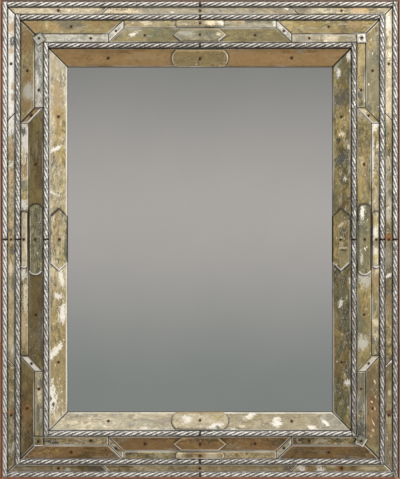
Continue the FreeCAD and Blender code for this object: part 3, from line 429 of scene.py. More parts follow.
# Worn spots: the same, with the slant in degrees before the tone
PATCHES = {
    "top_outer_strips": [
        (-187, 459, 11, 2, 50, "bare", 1.0),
        (205, 459, 12, 8, 0, "smoke", 0.6),
        (320, 459, 18, 6, 0, "peach", 0.8),
    ],
    "top_wide_corner_strips": [
        (-332, 428, 18, 10, 0, "amber", 0.7),
        (-290, 424, 18, 9, 0, "tan", 0.7),
        (-306, 428, 3, 10, 0, "cream", 0.35),
        (-262, 429, 26, 9, 0, "smoke", 0.6),
        (-210, 431, 12, 8, 0, "amber", 0.7),
        (313, 429, 18, 10, 0, "tan", 0.6),
    ],
    "top_narrow_corner_strips": [
        (205, 400, 16, 8, 0, "smoke", 0.35),
        (262, 400, 14, 8, 0, "cream", 0.6),
        (298, 400, 10, 8, 0, "smoke", 0.35),
    ],
    "top_narrow_centre_strip": [
        (75, 438, 14, 4, 0, "peach", 0.8),
        (150, 435, 5, 7, 0, "bare", 0.8),
        (-108, 434, 10, 5, 0, "ivory", 0.6),
    ],
    "top_wide_centre_strip": [(-132, 410, 9, 4, 20, "bare", 0.8)],
    "top_inner_strip": [(200, 375, 7, 4, 0, "silver", 0.6)],
    "top_cover_plates": [
        (44, 434, 9, 6, 0, "bare", 0.9),
        (22, 433, 9, 5, 0, "ivory", 0.9),
        (0, 365, 95, 30, 0, "khaki", 0.65),
        (-28, 412, 14, 5, 0, "pearl", 0.5),
        (36, 409, 4, 3.5, 0, "cream", 0.8),
    ],
    "right_outer_strips": [
        (376, -72, 12, 3, 20, "bare", 0.9),
        (375, 434, 6, 16, 0, "bare", 0.9),
        (380, -245, 11, 2, 47, "bare", 1.0),
        (375, 47, 6, 14, 0, "pearl", 0.7),
        (376, -130, 7, 28, 0, "tan", 0.5),
        (375, -36, 7, 20, 0, "silver", 0.6),
        (376, 4, 9, 7, 0, "ochre", 0.85),
        (378, -354, 9, 20, 0, "champagne", 0.8),
        (379, -306, 3, 5, 0, "cream", 0.7),
        (379, -378, 4, 10, 0, "gold", 0.5),
        (378, -347, 7, 8, 0, "rust", 0.9),
    ],
    "right_wide_corner_strips": [
        (345, -352, 11, 38, 0, "amber", 0.7),
        (344, -322, 5, 9, 0, "rust", 0.6),
        (348, -366, 5, 12, 0, "rust", 0.5),
        (349, -284, 1.2, 4, 15, "ivory", 0.7),
        (351, -315, 1.2, 3, 15, "ivory", 0.7),
        (343, -324, 1.5, 3, 25, "ivory", 0.7),
        (349, -338, 1.2, 4, 15, "ivory", 0.7),
        (346, -366, 1.5, 6, 20, "ivory", 0.75),
        (345, -381, 2.5, 4, 25, "peach", 0.8),
        (340, -391, 2.5, 4, 30, "peach", 0.7),
    ],
    "right_diagonal_strips": [(334, -249, 40, 34, 0, "pearl", 0.9)],
    "right_narrow_centre_strip": [
        (343, 180, 4, 58, 0, "bare", 0.7),
        (347, 226, 9, 9, 0, "bare", 0.8),
        (355, 187, 3, 7, 0, "ivory", 0.9),
        (351, -83, 7, 13, 0, "tan", 0.7),
        (346, -133, 6, 14, 0, "moss", 0.7),
        (350, -166, 6, 8, 0, "ivory", 0.7),
        (345, -203, 5, 9, 30, "smoke", 0.8),
    ],
    "right_wide_centre_strip": [
        (324, -207, 13, 15, 0, "pearl", 0.9),
        (330, -82, 12, 16, 0, "pearl", 0.8),
        (329, 148, 4, 46, 0, "amber", 0.6),
        (320, 112, 3, 36, 0, "straw", 0.7),
    ],
    "right_inner_strip": [
        (298, 366, 5, 9, 0, "bare", 0.95),
        (277, 334, 4, 7, 0, "bare", 0.95),
        (284, 211, 5, 5, 0, "ivory", 0.9),
        (296, 186, 3, 5, 0, "ivory", 0.9),
        (284, 283, 16, 20, 0, "smoke", 0.8),
        (281, 160, 11, 14, 0, "smoke", 0.85),
        (280, 385, 14, 14, 0, "moss", 0.9),
        (290, 121, 3, 4, 0, "bare", 0.95),
        (288, 71, 26, 5, 52, "umber", 0.85),
        (300, -83, 4, 6, 0, "bare", 0.9),
        (287, -110, 14, 22, 0, "moss", 0.7),
        (280, -128, 3, 8, -15, "bare", 0.9),
        (294, -286, 6, 6, 0, "bare", 0.9),
    ],
    "right_cover_plates": [
        (324, 52, 4, 15, 0, "bare", 0.95),
        (322, -38, 3, 12, 0, "pearl", 0.9),
        (350, 17, 5, 12, 0, "bare", 0.9),
        (351, 36, 8, 10, 0, "gold", 0.7),
        (351, -9, 7, 8, 0, "moss", 0.6),
        (350, -24, 7, 6, 0, "bare", 0.7),
        (350, -38, 8, 7, 0, "gold", 0.6),
        (351, -53, 8, 8, 0, "silver", 0.8),
        (282, 29, 9, 3, 35, "cream", 0.8),
        (284, -21, 9, 2, 0, "soot", 0.7),
        (286, -17, 8, 2, 0, "cream", 0.7),
    ],
    "bottom_outer_strips": [
        (-186, -459, 10, 2, -53, "bare", 1.0),
        (-265, -461, 5, 4, 0, "pearl", 0.9),
        (-280, -455, 5, 3, 0, "tan", 0.9),
        (-208, -457, 16, 8, 0, "smoke", 0.6),
        (202, -455, 10, 6, -30, "bare", 0.95),
        (224, -459, 9, 5, 0, "amber", 0.8),
        (240, -459, 8, 8, -30, "bare", 0.9),
        (262, -453, 10, 3, 0, "cream", 0.8),
        (281, -459, 8, 6, 0, "ochre", 0.7),
        (308, -458, 8, 8, 0, "umber", 0.7),
        (337, -457, 20, 4, 0, "cream", 0.7),
    ],
    "bottom_diagonal_strips": [(172, -416, 34, 30, 0, "oyster", 0.75)],
    "bottom_inner_strip": [
        (100, -353, 11, 5, 20, "bare", 0.95),
        (152, -365, 9, 8, 0, "bare", 0.95),
        (250, -365, 10, 3, -45, "bare", 0.95),
        (224, -375, 11, 4, -10, "bare", 0.95),
        (272, -383, 8, 4, 0, "bare", 0.9),
        (84, -372, 7, 4, 0, "cream", 0.9),
        (66, -381, 7, 4, 0, "bare", 0.9),
        (-110, -379, 9, 5, 0, "bare", 0.8),
    ],
    "bottom_cover_plates": [
        (30, -374, 14, 7, 20, "bare", 0.9),
        (-26, -359, 9, 7, 0, "bare", 0.9),
        (35, -354, 10, 6, 0, "gold", 0.5),
        (36, -375, 5, 3, -30, "smoke", 0.8),
        (0, -430, 10, 9, 0, "amber", 0.7),
        (-22, -429, 8, 8, 0, "umber", 0.6),
        (24, -432, 11, 6, 0, "cream", 0.8),
        (-42, -428, 7, 7, 0, "ivory", 0.6),
    ],
    "left_outer_strips": [
        (-376, 360, 20, 170, 0, "chalk", 1.0),
        (-374, 395, 6, 11, 0, "smoke", 0.9),
        (-372, 307, 5, 10, 0, "peach", 0.9),
        (-372, 284, 5, 9, 0, "tan", 0.8),
        (-376, 425, 7, 12, 0, "peach", 0.9),
        (-376, 377, 6, 8, 0, "peach", 0.8),
        (-377, 245, 11, 2, 43, "bare", 0.9),
        (-378, 184, 6, 20, 0, "tan", 0.7),
        (-378, 128, 5, 12, 0, "peach", 0.7),
        (-378, 31, 4, 10, 0, "peach", 0.8),
        (-376, -21, 5, 10, 0, "smoke", 0.7),
        (-378, -56, 4, 14, 0, "ivory", 0.8),
        (-372, -86, 5, 14, 0, "moss", 0.8),
        (-376, -347, 5, 8, 0, "ochre", 0.8),
        (-368, -413, 5, 8, 0, "bare", 0.9),
    ],
    "left_wide_corner_strips": [
        (-345, 396, 13, 24, 0, "amber", 0.8),
        (-344, 324, 9, 12, 0, "amber", 0.9),
        (-346, 271, 10, 14, 0, "amber", 0.7),
        (-341, 295, 11, 15, 0, "pearl", 0.9),
        (-346, -352, 10, 24, 0, "amber", 0.6),
        (-346, -333, 8, 12, 0, "ochre", 0.55),
        (-351, -293, 7, 12, 0, "khaki", 0.6),
    ],
    "left_narrow_corner_strips": [
        (-321, -304, 4, 18, 0, "ivory", 0.85),
        (-318, -287, 5, 8, 0, "smoke", 0.7),
        (-324, -345, 4, 16, 0, "smoke", 0.7),
        (-317, -350, 3, 14, 0, "pearl", 0.7),
        (-320, -378, 6, 10, 0, "moss", 0.7),
    ],
    "left_diagonal_strips": [(-334, -249, 40, 34, 0, "bare", 0.9)],
    "left_narrow_centre_strip": [
        (-349, 204, 9, 30, 0, "bare", 0.9),
        (-352, 215, 5, 8, 0, "smoke", 0.9),
        (-350, 137, 8, 15, 0, "tan", 0.8),
        (-350, 107, 7, 14, 0, "moss", 0.7),
        (-350, 85, 8, 11, 0, "gold", 0.85),
        (-352, 69, 9, 10, 0, "bare", 0.9),
        (-354, -66, 7, 12, 0, "bare", 0.9),
        (-349, -122, 4, 30, 0, "ivory", 0.85),
        (-353, -178, 5, 28, 0, "peach", 0.8),
        (-350, -96, 8, 5, 0, "ivory", 0.8),
    ],
    "left_inner_strip": [
        (-285, 280, 10, 45, 0, "tan", 0.6),
        (-288, 181, 14, 4, 25, "bare", 0.95),
        (-292, 92, 9, 3, -30, "bare", 0.7),
        (-277, -76, 4, 18, 10, "bare", 0.9),
        (-283, -113, 8, 6, 0, "bare", 0.8),
        (-274, -147, 7, 18, -10, "bare", 0.95),
        (-290, -225, 25, 6, 53, "bare", 0.95),
        (-295, -317, 10, 29, 0, "bare", 1.0),
        (-298, -317, 3, 5, 0, "soot", 0.9),
        (-293, -329, 3, 5, 0, "soot", 0.9),
    ],
    "corner_squares": [
        (-320, 400, 22, 22, 0, "pearl", 0.8),
        (322, 402, 22, 22, 0, "bare", 0.9),
        (322, 402, 5, 5, 0, "smoke", 0.9),
        (-322, -402, 22, 22, 0, "olive", 0.9),
        (321, -401, 22, 22, 0, "moss", 0.7),
    ],
}

# How little and how much the ground edges stand out, and the tone of the bevels that don't face down.
# The strength differs by side partly as painted highlight and shade, and the soot of COVER_TONE on
# the left and right paints shadow lines along the covers.
STRIP_EDGE = {"top": (0.1, 0.5), "right": (0.1, 0.5), "bottom": (0.45, 0.8), "left": (0.1, 0.5)}
LIP_EDGE = {"top": (0.05, 0.25), "right": (0.1, 0.6), "bottom": (0.5, 0.9), "left": (0.7, 1.0)}
BEVEL_EDGE = {"top": (0.25, 0.6), "right": (0.8, 1.0), "bottom": (0.4, 0.7), "left": (0.8, 1.0)}
DIAGONAL_TONE = {"top": "ground", "right": "khaki", "bottom": "khaki", "left": "umber"}
COVER_TONE = {"top": "champagne", "right": "soot", "bottom": "champagne", "left": "soot"}

# How much the patterns are drawn out along a strip, and how they shift from piece to piece
GLASS_STRETCH = 0.5
PATTERN_SHIFT = (1.7, 0.9, 2.3)
DRAWN_SHIFT = (2.9, 1.3, 0.7)

# Rust around a nail: where it starts and is strongest, and how ragged it is
STAIN_REACH = (8.5 * MM, 5 * MM)
STAIN_RAGGED = 7 * MM

# Where a face turns from flat top to ground edge, by the cosine of its slope, and where it starts to
# face down, by the Z of its normal. The edges that face down are painted chalk white, a painted
# highlight.
EDGE_SLOPE = (0.975, 0.93)
DOWNWARD = (-0.02, -0.25)

# How ragged the outlines of washes and spots are, and where they start and are full
WASH_MOTTLE = 0.5
WASH_OUTLINE = (1.34, 1.16)
PATCH_MOTTLE = 2.0
PATCH_TORN = 5.4
PATCH_OUTLINE = (4.72, 4.58)

GLASS_WAVES = 1.2 * MM

STRIP_NAILS = nail_places("strip_nails")


class OldGlass(Paint):
    """Old silvered glass of one node. Each layer takes the colour so far and gives the next."""

    def __init__(self, node, side, seed):
        super().__init__(node)
        self.node = node
        self.light, self.base, self.dark, flakes, self.crust = LOOKS[node]
        stretch = (GLASS_STRETCH, 1, 1) if is_across(side) else (1, 1, GLASS_STRETCH)
        self.where = self.moved(stretch, tuple(seed * shift for shift in PATTERN_SHIFT))
        self.drawn = self.moved(tuple(value ** 2 for value in stretch),
                                tuple(seed * shift for shift in DRAWN_SHIFT))
        self.mottle = self.noise(self.where, scale=105, detail=6, roughness=0.75, distortion=0.5)
        self.torn = self.noise(self.where, scale=240, detail=6, roughness=0.8, distortion=1.2)
        self.fleck = self.noise(self.where, scale=170, detail=5, roughness=0.75, distortion=0.6)
        self.lost = self.spread(self.fleck, 0.37 + flakes, 0.33 + flakes, 0.0, 0.95)
        self.crusted = self.spread(self.noise(self.where, scale=20, detail=2), 0.42, 0.58,
                                   0.35 * self.crust, 1.3 * self.crust)

    def clouds(self):
        """The three tones of the piece, in drawn-out clouds."""
        cloud = self.noise(self.drawn, scale=30, detail=4, roughness=0.62, distortion=0.8)
        shade = self.sum((cloud, 0.45), (self.mottle, 0.33), (self.torn, 0.22))
        reach = 0.085 - 0.035 * self.crust
        colour = self.mix(self.spread(shade, 0.5 - reach, 0.5), TONES[self.dark], TONES[self.base])
        return self.mix(self.spread(shade, 0.5, 0.5 + reach), colour, TONES[self.light])

    def film(self, colour):
        """A thin film, amber in some places and pearl in others."""
        haze = self.noise(self.drawn, scale=52, detail=4, roughness=0.65)
        share = 0.05 + 0.45 * self.crust
        colour = self.mix(self.spread(haze, 0.52, 0.62, 0.0, share), colour, TONES["amber"])
        return self.mix(self.spread(haze, 0.47, 0.37, 0.0, share), colour, TONES["pearl"])

    def from_spot(self, x, z, wide, tall, lean=0):
        """Places from the middle of a spot along its own axes, in half widths and half heights."""
        return self.add("ShaderNodeMapping", {
            "Vector": self.place,
            "Location": (x * MM, 0, z * MM),
            "Rotation": (0, -math.radians(lean), 0),
            "Scale": (wide * MM, 1, tall * MM),
        }, vector_type="TEXTURE")

    def washes(self, colour):
        """Broad changes of tone, as rectangles with ragged edges, partly painted light and shade."""
        patchy = self.spread(self.sum((self.torn, 0.5), (self.mottle, 0.5)), 0.42, 0.54, 0.5, 1.0)
        for x, z, wide, tall, name, share in WASHES.get(self.node, ()):
            spot = self.from_spot(x, z, wide, tall)
            away = self.split(self.add("ShaderNodeVectorMath", {0: spot}, operation="ABSOLUTE"))
            square = self.math("MAXIMUM", away["X"], away["Z"])
            ragged = self.sum((square, 1.0), (self.mottle, WASH_MOTTLE))
            mask = self.math("MULTIPLY", self.spread(ragged, *WASH_OUTLINE, 0.0, share), patchy)
            colour = self.mix(mask, colour, TONES[name])
        return colour

    def crust_of(self, colour, pattern, low, high, share, name):
        """A tone where a pattern goes from low to high, on the crusted parts."""
        mask = self.math("MULTIPLY", self.spread(pattern, low, high, 0.0, share), self.crusted)
        return self.mix(mask, colour, TONES[name])

    def crusts(self, colour):
        """Smoky, golden and dark crust, and tarnish that ripples all of it."""
        tint = self.noise(self.where, scale=64, detail=6, roughness=0.8)
        colour = self.crust_of(colour, tint, 0.53, 0.60, 0.85, "smoke")
        colour = self.crust_of(colour, tint, 0.45, 0.38, 0.8, "gold")
        colour = self.crust_of(colour, self.fleck, 0.57, 0.63, 0.85, "umber")
        tarnish = self.noise(self.where, scale=150, detail=6, roughness=0.8, distortion=0.8)
        rippled = self.mix(1.0, colour, self.spread(tarnish, 0.36, 0.64, 0.45, 1.45), "MULTIPLY")
        return self.mix(self.math("ADD", self.crusted, 0.22), colour, rippled)

    def patches(self, colour):
        """Worn spots, round with torn edges."""
        for x, z, wide, tall, lean, name, share in PATCHES.get(self.node, ()):
            away = self.measure("LENGTH", self.from_spot(x, z, wide, tall, lean))
            ragged = self.sum((away, 1.0), (self.mottle, PATCH_MOTTLE), (self.torn, PATCH_TORN))
            colour = self.mix(self.spread(ragged, *PATCH_OUTLINE, 0.0, share), colour, TONES[name])
        return colour

    def flakes_and_pits(self, colour):
        """Flakes of lost silver, and bare and dark pits in the crust."""
        colour = self.mix(self.lost, colour, TONES["bare"])
        pits = self.noise(self.place, scale=330, detail=4, roughness=0.7)
        colour = self.crust_of(colour, pits, 0.38, 0.33, 0.9, "bare")
        return self.crust_of(colour, pits, 0.61, 0.66, 0.9, "soot")

    def stains(self, colour):
        """Rust around the nails that lie within the box of the piece."""
        low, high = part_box(self.node)
        near = [nail for nail in STRIP_NAILS if low.x < nail.x < high.x and low.z < nail.z < high.z]
        if not near:
            return colour
        flat = self.moved((1, 0, 1))
        gaps = [self.measure("DISTANCE", flat, nail) for nail in near]
        ragged = self.sum((self.fold("MINIMUM", gaps), 1.0), (self.mottle, STAIN_RAGGED))
        return self.mix(self.spread(ragged, *STAIN_REACH, 0.0, 0.8), colour, TONES["rust"])

    def edges(self, colour, faces, shares, name):
        """Painted shade in the crevices, and ground edges around the flat tops, painted chalk white as a
        highlight where they face down.
        """
        normal = self.add("ShaderNodeNewGeometry", {}, output="True Normal")
        level = self.fold("MAXIMUM", [self.measure("DOT_PRODUCT", normal, face) for face in faces])
        bright = self.spread(self.noise(self.place, scale=13, detail=2), 0.44, 0.58, *shares)
        edge = self.math("MULTIPLY", self.spread(level, *EDGE_SLOPE), bright)
        # Ground edges that face down are painted chalk white: a painted highlight
        down = self.spread(self.split(normal)["Z"], *DOWNWARD)
        ground = self.mix(down, TONES[name], TONES["chalk"])
        # The colour gets painted shade in its crevices, and the ground edges go over it
        return self.mix(edge, self.painted_shade(colour, share=0.92), ground)


def old_glass(node, side, faces, seed, edge_shares, edge_tone="ground"):
    """Dress a piece of glass.

    faces are the normals of its flat tops, edge_shares say how little and how much its ground edges
    stand out, partly as painted highlight and shade, and edge_tone is the tone of those that don't
    face down; those that face down are painted chalk white as a highlight.
    """
    glass = OldGlass(node, side, seed)
    colour = glass.clouds()
    layers = (glass.film, glass.washes, glass.crusts, glass.patches, glass.flakes_and_pits, glass.stains)
    for layer in layers:
        colour = layer(colour)
    waves = glass.noise(glass.where, scale=18, detail=1)
    glass.surface(base_color=glass.edges(colour, faces, edge_shares, edge_tone),
                  metallic=glass.spread(glass.lost, 0.0, 1.0, 0.3, 0.0),
                  roughness=glass.spread(glass.mottle, 0.3, 0.7, 0.26, 0.48),
                  coat_weight=0.6, coat_roughness=0.06, normal=glass.bump(waves, GLASS_WAVES))
    dress(node, glass)


def dress_glass():
    seed = 0
    for side in SIDES:
        for band, strips in BAND_STRIPS.items():
            faces = [slope_normal(side, band)]
            plain_edge = LIP_EDGE if band == "inner" else STRIP_EDGE
            for strip in strips:
                if strip == "diagonal_strips":
                    edge = (BEVEL_EDGE[side], DIAGONAL_TONE[side])
                else:
                    edge = (plain_edge[side],)
                old_glass(f"{side}_{strip}", side, faces, seed, *edge)
                seed += 1
        faces = [slope_normal(side, band) for band in ("middle", "inner")]
        old_glass(f"{side}_cover_plates", side, faces, seed, BEVEL_EDGE[side], COVER_TONE[side])
        seed += 1
    hips = []
    for across in ("left", "right"):
        for up in ("top", "bottom"):
            hips.append((slope_normal(across, "middle") + slope_normal(up, "middle")).normalized())
    old_glass("corner_squares", "top", hips, seed, BEVEL_EDGE["right"], "smoke")


# Ropes of twisted glass

# Length of one turn of the twist, number of lobes, and depth of the flutes between them as a share
# of the radius
ROPE_LEAD = 57 * MM
ROPE_LOBES = 4
FLUTE_DEPTH = 0.28

# Points around a rope, and steps along it
ROPE_POINTS = 32
ROPE_STEP = 2.5 * MM

# How much whiter or greyer some ropes are, as a shift between their painted highlight and painted
# shade
ROPE_LEVELS = {
    "top_middle": -0.06,
    "top_inner": -0.1,
    "right_outer": -0.1,
    "right_middle": -0.1,
    "right_inner": -0.24,
    "bottom_middle": -0.08,
    "left_outer": 0.18,
    "left_middle": -0.1,
}

# Painted shade in the flutes, darkest on the top and bottom sides, the tone on the flanks, and the
# painted highlight on the crests of the lobes
ROPE_FLUTE_SHADE = {
    "top": tone(52, 48, 45),
    "right": tone(116, 113, 110),
    "bottom": tone(72, 68, 64),
    "left": tone(124, 121, 117),
}
ROPE_FLANK = tone(162, 158, 152)
ROPE_CREST_HIGHLIGHT = tone(246, 244, 240)

# How uneven the lobes are, finely and in blotches
ROPE_NOISE = {"top": 0.24, "right": 0.46, "bottom": 0.3, "left": 0.46}
ROPE_BLOTCHES = {"top": 0.08, "right": 0.2, "bottom": 0.08, "left": 0.16}

# Painted shade beside the ropes: where it starts and is darkest, as shares of the radius, and its
# tone and strength below the ropes across and on both sides of the upright ones
BESIDE_ROPE = (0.55, 0.95)
ACROSS_SHADE = ("soot", 0.5)
UPRIGHT_SHADE = ("moss", 0.45)

# Darkening along the ropes, towards the bottom on the upright ones and towards one end on the
# others: where it starts, where it is darkest, and its strength there
ROPE_DARK_TONE = tone(86, 73, 57)
ROPE_DARKENING = {
    "top": (-0.25, -0.08, 0.2),
    "right": (0.12, -0.36, 0.34),
    "bottom": (0.1, 0.35, 0.08),
    "left": (0.1, -0.36, 0.24),
}

# Rust beside the nail at the middle: where it starts and is strongest, and how ragged it is
ROPE_STAIN_REACH = (8 * MM, 5 * MM)
ROPE_STAIN_RAGGED = 9 * MM


def add_rope_run(shape, layer, start, end, along, radius):
    """One length of rope from start to end, with rounded lobes and a left hand twist."""
    across = FORWARD.cross(along)
    length = (end - start).length
    steps = round(length / ROPE_STEP)
    rings = []
    for step in range(steps + 1):
        run = length * step / steps
        ring = []
        for point in range(ROPE_POINTS):
            turn = 2 * math.pi * point / ROPE_POINTS
            crest = abs(math.cos(ROPE_LOBES * turn / 2))
            angle = turn + 2 * math.pi * run / ROPE_LEAD
            reach = radius * (1 - FLUTE_DEPTH * (1 - crest))
            spoke = FORWARD * math.cos(angle) + across * math.sin(angle)
            vertex = shape.verts.new(start + along * run + spoke * reach)
            vertex[layer] = crest
            ring.append(vertex)
        rings.append(ring)
    for near, far in zip(rings, rings[1:]):
        for index in range(ROPE_POINTS):
            after = (index + 1) % ROPE_POINTS
            shape.faces.new((near[index], near[after], far[after], far[index]))
    shape.faces.new(rings[0][::-1])
    shape.faces.new(rings[-1])


def make_rope(side, ring):
    """The two lengths of a rope, in place of its CAD node."""
    node = f"{side}_{ring}_rope"
    low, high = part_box(node)
    middle = (low + high) / 2
    along = Vector((1, 0, 0)) if is_across(side) else Vector((0, 0, 1))
    reach = (high - low).dot(along) / 2
    half_gap = min(abs((vertex.co - middle).dot(along)) for vertex in nodes[node].data.vertices)
    radius = (high.y - low.y) / 2
    shape = bmesh.new()
    layer = shape.verts.layers.float.new("crest")
    for sign in (-1, 1):
        near = middle + along * sign * half_gap
        far = middle + along * sign * reach
        ends = (near, far) if sign > 0 else (far, near)
        add_rope_run(shape, layer, *ends, along, radius)
    bmesh.ops.recalc_face_normals(shape, faces=shape.faces)
    mesh = bpy.data.meshes.new(f"{node}_twisted")
    shape.to_mesh(mesh)
    shape.free()
    mesh.materials.append(rope_glass(side, ring, middle, radius).material)
    mesh.polygons.foreach_set("use_smooth", [True] * len(mesh.polygons))
    rope = bpy.data.objects.new(f"{node}_twisted", mesh)
    bpy.context.scene.collection.objects.link(rope)
    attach(rope, "root")
    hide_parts(node)


def rope_glass(side, ring, middle, radius):
    """Clear glass, with painted highlights along its lobes and painted shade in the flutes between them.
    """
    paint = Paint(f"{side}_{ring}_rope")
    crest = paint.add("ShaderNodeAttribute", {}, output="Fac", attribute_name="crest")
    streak = paint.noise(paint.place, scale=190, detail=5, roughness=0.7)
    blotch = paint.noise(paint.place, scale=75, detail=3)
    level = ROPE_LEVELS.get(f"{side}_{ring}", 0.0)
    uneven = ROPE_NOISE[side]
    blotched = ROPE_BLOTCHES[side]
    lift = paint.math("ADD", crest, paint.spread(streak, 0.3, 0.7, level - uneven, level + uneven))
    lift = paint.math("ADD", lift, paint.spread(blotch, 0.38, 0.62, -blotched, blotched))
    # Painted shade in the flutes and painted highlight on the crests
    colour = paint.mix(paint.spread(lift, 0.28, 0.62), ROPE_FLUTE_SHADE[side], ROPE_FLANK)
    colour = paint.mix(paint.spread(lift, 0.70, 0.98), colour, ROPE_CREST_HIGHLIGHT)
    parts = paint.split(paint.place)
    if is_across(side):
        along = parts["X"]
        away = paint.math("SUBTRACT", middle.z, parts["Z"])
        painted_shade, share = ACROSS_SHADE
    else:
        along = parts["Z"]
        away = paint.math("ABSOLUTE", paint.math("SUBTRACT", middle.x, parts["X"]))
        painted_shade, share = UPRIGHT_SHADE
    start, end = (part * radius for part in BESIDE_ROPE)
    # Painted shade on the lower side of the ropes across and on both flanks of the upright ones
    colour = paint.mix(paint.spread(away, start, end, 0.0, share), colour, TONES[painted_shade])
    # Darker towards one end of each rope, towards the bottom on the upright ones
    start, end, share = ROPE_DARKENING[side]
    colour = paint.mix(paint.spread(along, start, end, 0.0, share), colour, ROPE_DARK_TONE)
    from_nail = paint.sum((paint.math("ABSOLUTE", along), 1.0), (streak, ROPE_STAIN_RAGGED))
    colour = paint.mix(paint.spread(from_nail, *ROPE_STAIN_REACH, 0.0, 0.65), colour, TONES["rust"])
    paint.surface(base_color=colour, roughness=paint.spread(streak, 0.3, 0.7, 0.05, 0.16),
                  transmission_weight=0.15, coat_weight=1.0, coat_roughness=0.03)
    return paint


# Mirror, wood and steel

# Painted shade along the edge of the mirror, for the shadowed side of the lip and its reflection:
# where it starts and is darkest, from the opening
MIRROR_EDGE_SHADE = (-1.23 * MM, -0.03 * MM)

# How much wood grain is drawn out
GRAIN_STRETCH = 0.06

# Light and dark tone of the rails, and of the bare front edge of each; the edge tones per side are
# painted light, much lighter on the bottom, which faces down into shade, and darker on the top and
# right
RAIL_TONES = (tone(150, 100, 72), tone(112, 72, 50))
RAIL_EDGE_LIT_TONES = {
    "top": (tone(104, 84, 72), tone(78, 60, 52)),
    "right": (tone(86, 52, 30), tone(64, 38, 20)),
    "bottom": (tone(234, 166, 126), tone(198, 138, 104)),
    "left": (tone(168, 100, 44), tone(126, 74, 30)),
}
RAIL_DIRT = tone(44, 36, 30)

# Where the rails begin to be aged, with the painted light of their edge tones, or dirty and fully
# are: in Y, and from the outside of the ropes
AGED_AND_LIT_FRONT = (-12 * MM, -20 * MM)
DIRTY_FRONT = (-12 * MM, -16 * MM)
DIRTY_INSIDE = (-0.1 * MM, -0.9 * MM)


def mirror_silver():
    """A clean silvered plate, with painted shade along its edge where it goes under the lip."""
    paint = Paint("mirror_silver")
    haze = paint.noise(paint.place, scale=5, detail=3)
    # Painted shade along the edge under the lip
    edge = paint.spread(paint.outside(OPENING), *MIRROR_EDGE_SHADE)
    silver = paint.mix(paint.spread(haze, 0.35, 0.65), tone(236, 238, 235), tone(240, 241, 238))
    paint.surface(base_color=paint.mix(edge, silver, TONES["soot"]), metallic=1.0,
                  roughness=paint.spread(haze, 0.3, 0.7, 0.015, 0.03))
    return paint


def wood_grain(paint, light, dark, across):
    """Colour of sawn wood with its grain along X, or along Z for an upright, and its rings and pores."""
    run = (GRAIN_STRETCH, 1, 1) if across else (1, 1, GRAIN_STRETCH)
    rings = paint.noise(paint.moved(run), scale=130, detail=5, roughness=0.6, distortion=1.2)
    pores = paint.noise(paint.moved(tuple(value * 3 for value in run)), scale=420, detail=4)
    cloud = paint.noise(paint.place, scale=14, detail=3)
    colour = paint.mix(paint.spread(rings, 0.35, 0.65), dark, light)
    colour = paint.mix(paint.spread(pores, 0.58, 0.72, 0.0, 0.55), colour, TONES["soot"])
    return paint.mix(paint.spread(cloud, 0.35, 0.7, 0.0, 0.35), colour, dark), rings, pores


def wood(name, light, dark, across, roughness):
    """Sawn wood, and the colour it has."""
    paint = Paint(name)
    colour, rings, pores = wood_grain(paint, light, dark, across)
    paint.surface(base_color=colour, roughness=paint.spread(rings, 0.3, 0.7, roughness, roughness + 0.2),
                  normal=paint.bump(pores, distance=0.4 * MM, strength=0.6))
    return paint, colour


def rail_wood(side):
    """Red-brown wood, aged along its bare front edge with a painted-light tone per side, and dark with
    dirt on the front inside that.
    """
    across = is_across(side)
    paint, colour = wood(f"{side}_rail", *RAIL_TONES, across, roughness=0.45)
    depth = paint.split(paint.place)["Y"]
    # The front edge tone differs by side as painted light
    aged_and_lit, _, _ = wood_grain(paint, *RAIL_EDGE_LIT_TONES[side], across)
    colour = paint.mix(paint.spread(depth, *AGED_AND_LIT_FRONT), colour, aged_and_lit)
    inside = paint.spread(paint.outside(OUTER_ROPES), *DIRTY_INSIDE)
    front = paint.spread(depth, *DIRTY_FRONT)
    paint.surface(base_color=paint.mix(paint.math("MULTIPLY", inside, front), colour, RAIL_DIRT))
    return paint


def steel(name, colour, run):
    """Plain steel with fine scratches along its length and a little tarnish."""
    paint = Paint(name)
    scratch = paint.noise(paint.moved(run), scale=900, detail=3)
    tarnish = paint.noise(paint.place, scale=120, detail=4)
    tarnished = paint.spread(tarnish, 0.5, 0.72, 0.0, 0.7)
    paint.surface(base_color=paint.mix(tarnished, colour, TONES["rust"]),
                  metallic=0.9, roughness=paint.spread(scratch, 0.3, 0.7, 0.3, 0.5),
                  normal=paint.bump(scratch, distance=0.1 * MM, strength=0.4))
    return paint


def dress_rest():
    for side in SIDES:
        dress(f"{side}_rail", rail_wood(side))
    splines, _ = wood("spline_wood", tone(140, 96, 74), tone(104, 70, 54), across=True, roughness=0.45)
    dress("mitre_splines", splines)
    board, _ = wood("board_wood", tone(178, 146, 104), tone(146, 112, 74), across=False, roughness=0.6)
    dress("back_board", board)
    dress("mirror_plate", mirror_silver())
    iron = rusty_iron()
    dress("strip_nails", iron)
    dress("rope_nails", iron)
    dress("hanger_plates", steel("hanger_steel", tone(176, 174, 168), run=(1, 1, 0.05)))
    screws = steel("screw_steel", tone(206, 202, 192), run=(1, 1, 1))
    dress("board_screws", screws)
    dress("hanger_screws", screws)


# Stage

# The camera looks straight at the front, and from its distance sees this height at this Y
CAMERA_DISTANCE = 6.0
VIEW_HEIGHT = 0.958
FRONT_PLANE = -0.020
CLIP_END = 100

FLOOR_HALF = 8

# What the camera sees behind the mirror and what lights it from below and above, as linear light
PALE = (0.93, 0.93, 0.92, 1)
SOFT_LOW = (0.26, 0.25, 0.24, 1)
SOFT_HIGH = (0.40, 0.40, 0.40, 1)

# The room that glass reflects: a lighter band along the horizon, and the greys below and above it
HORIZON = 0.010
HORIZON_REACH = 0.064
BAND_GREY = (0.468, 0.438, 0.430, 1)
LOW_GREY = (0.245, 0.262, 0.256, 1)
HIGH_GREY = (0.235, 0.238, 0.230, 1)

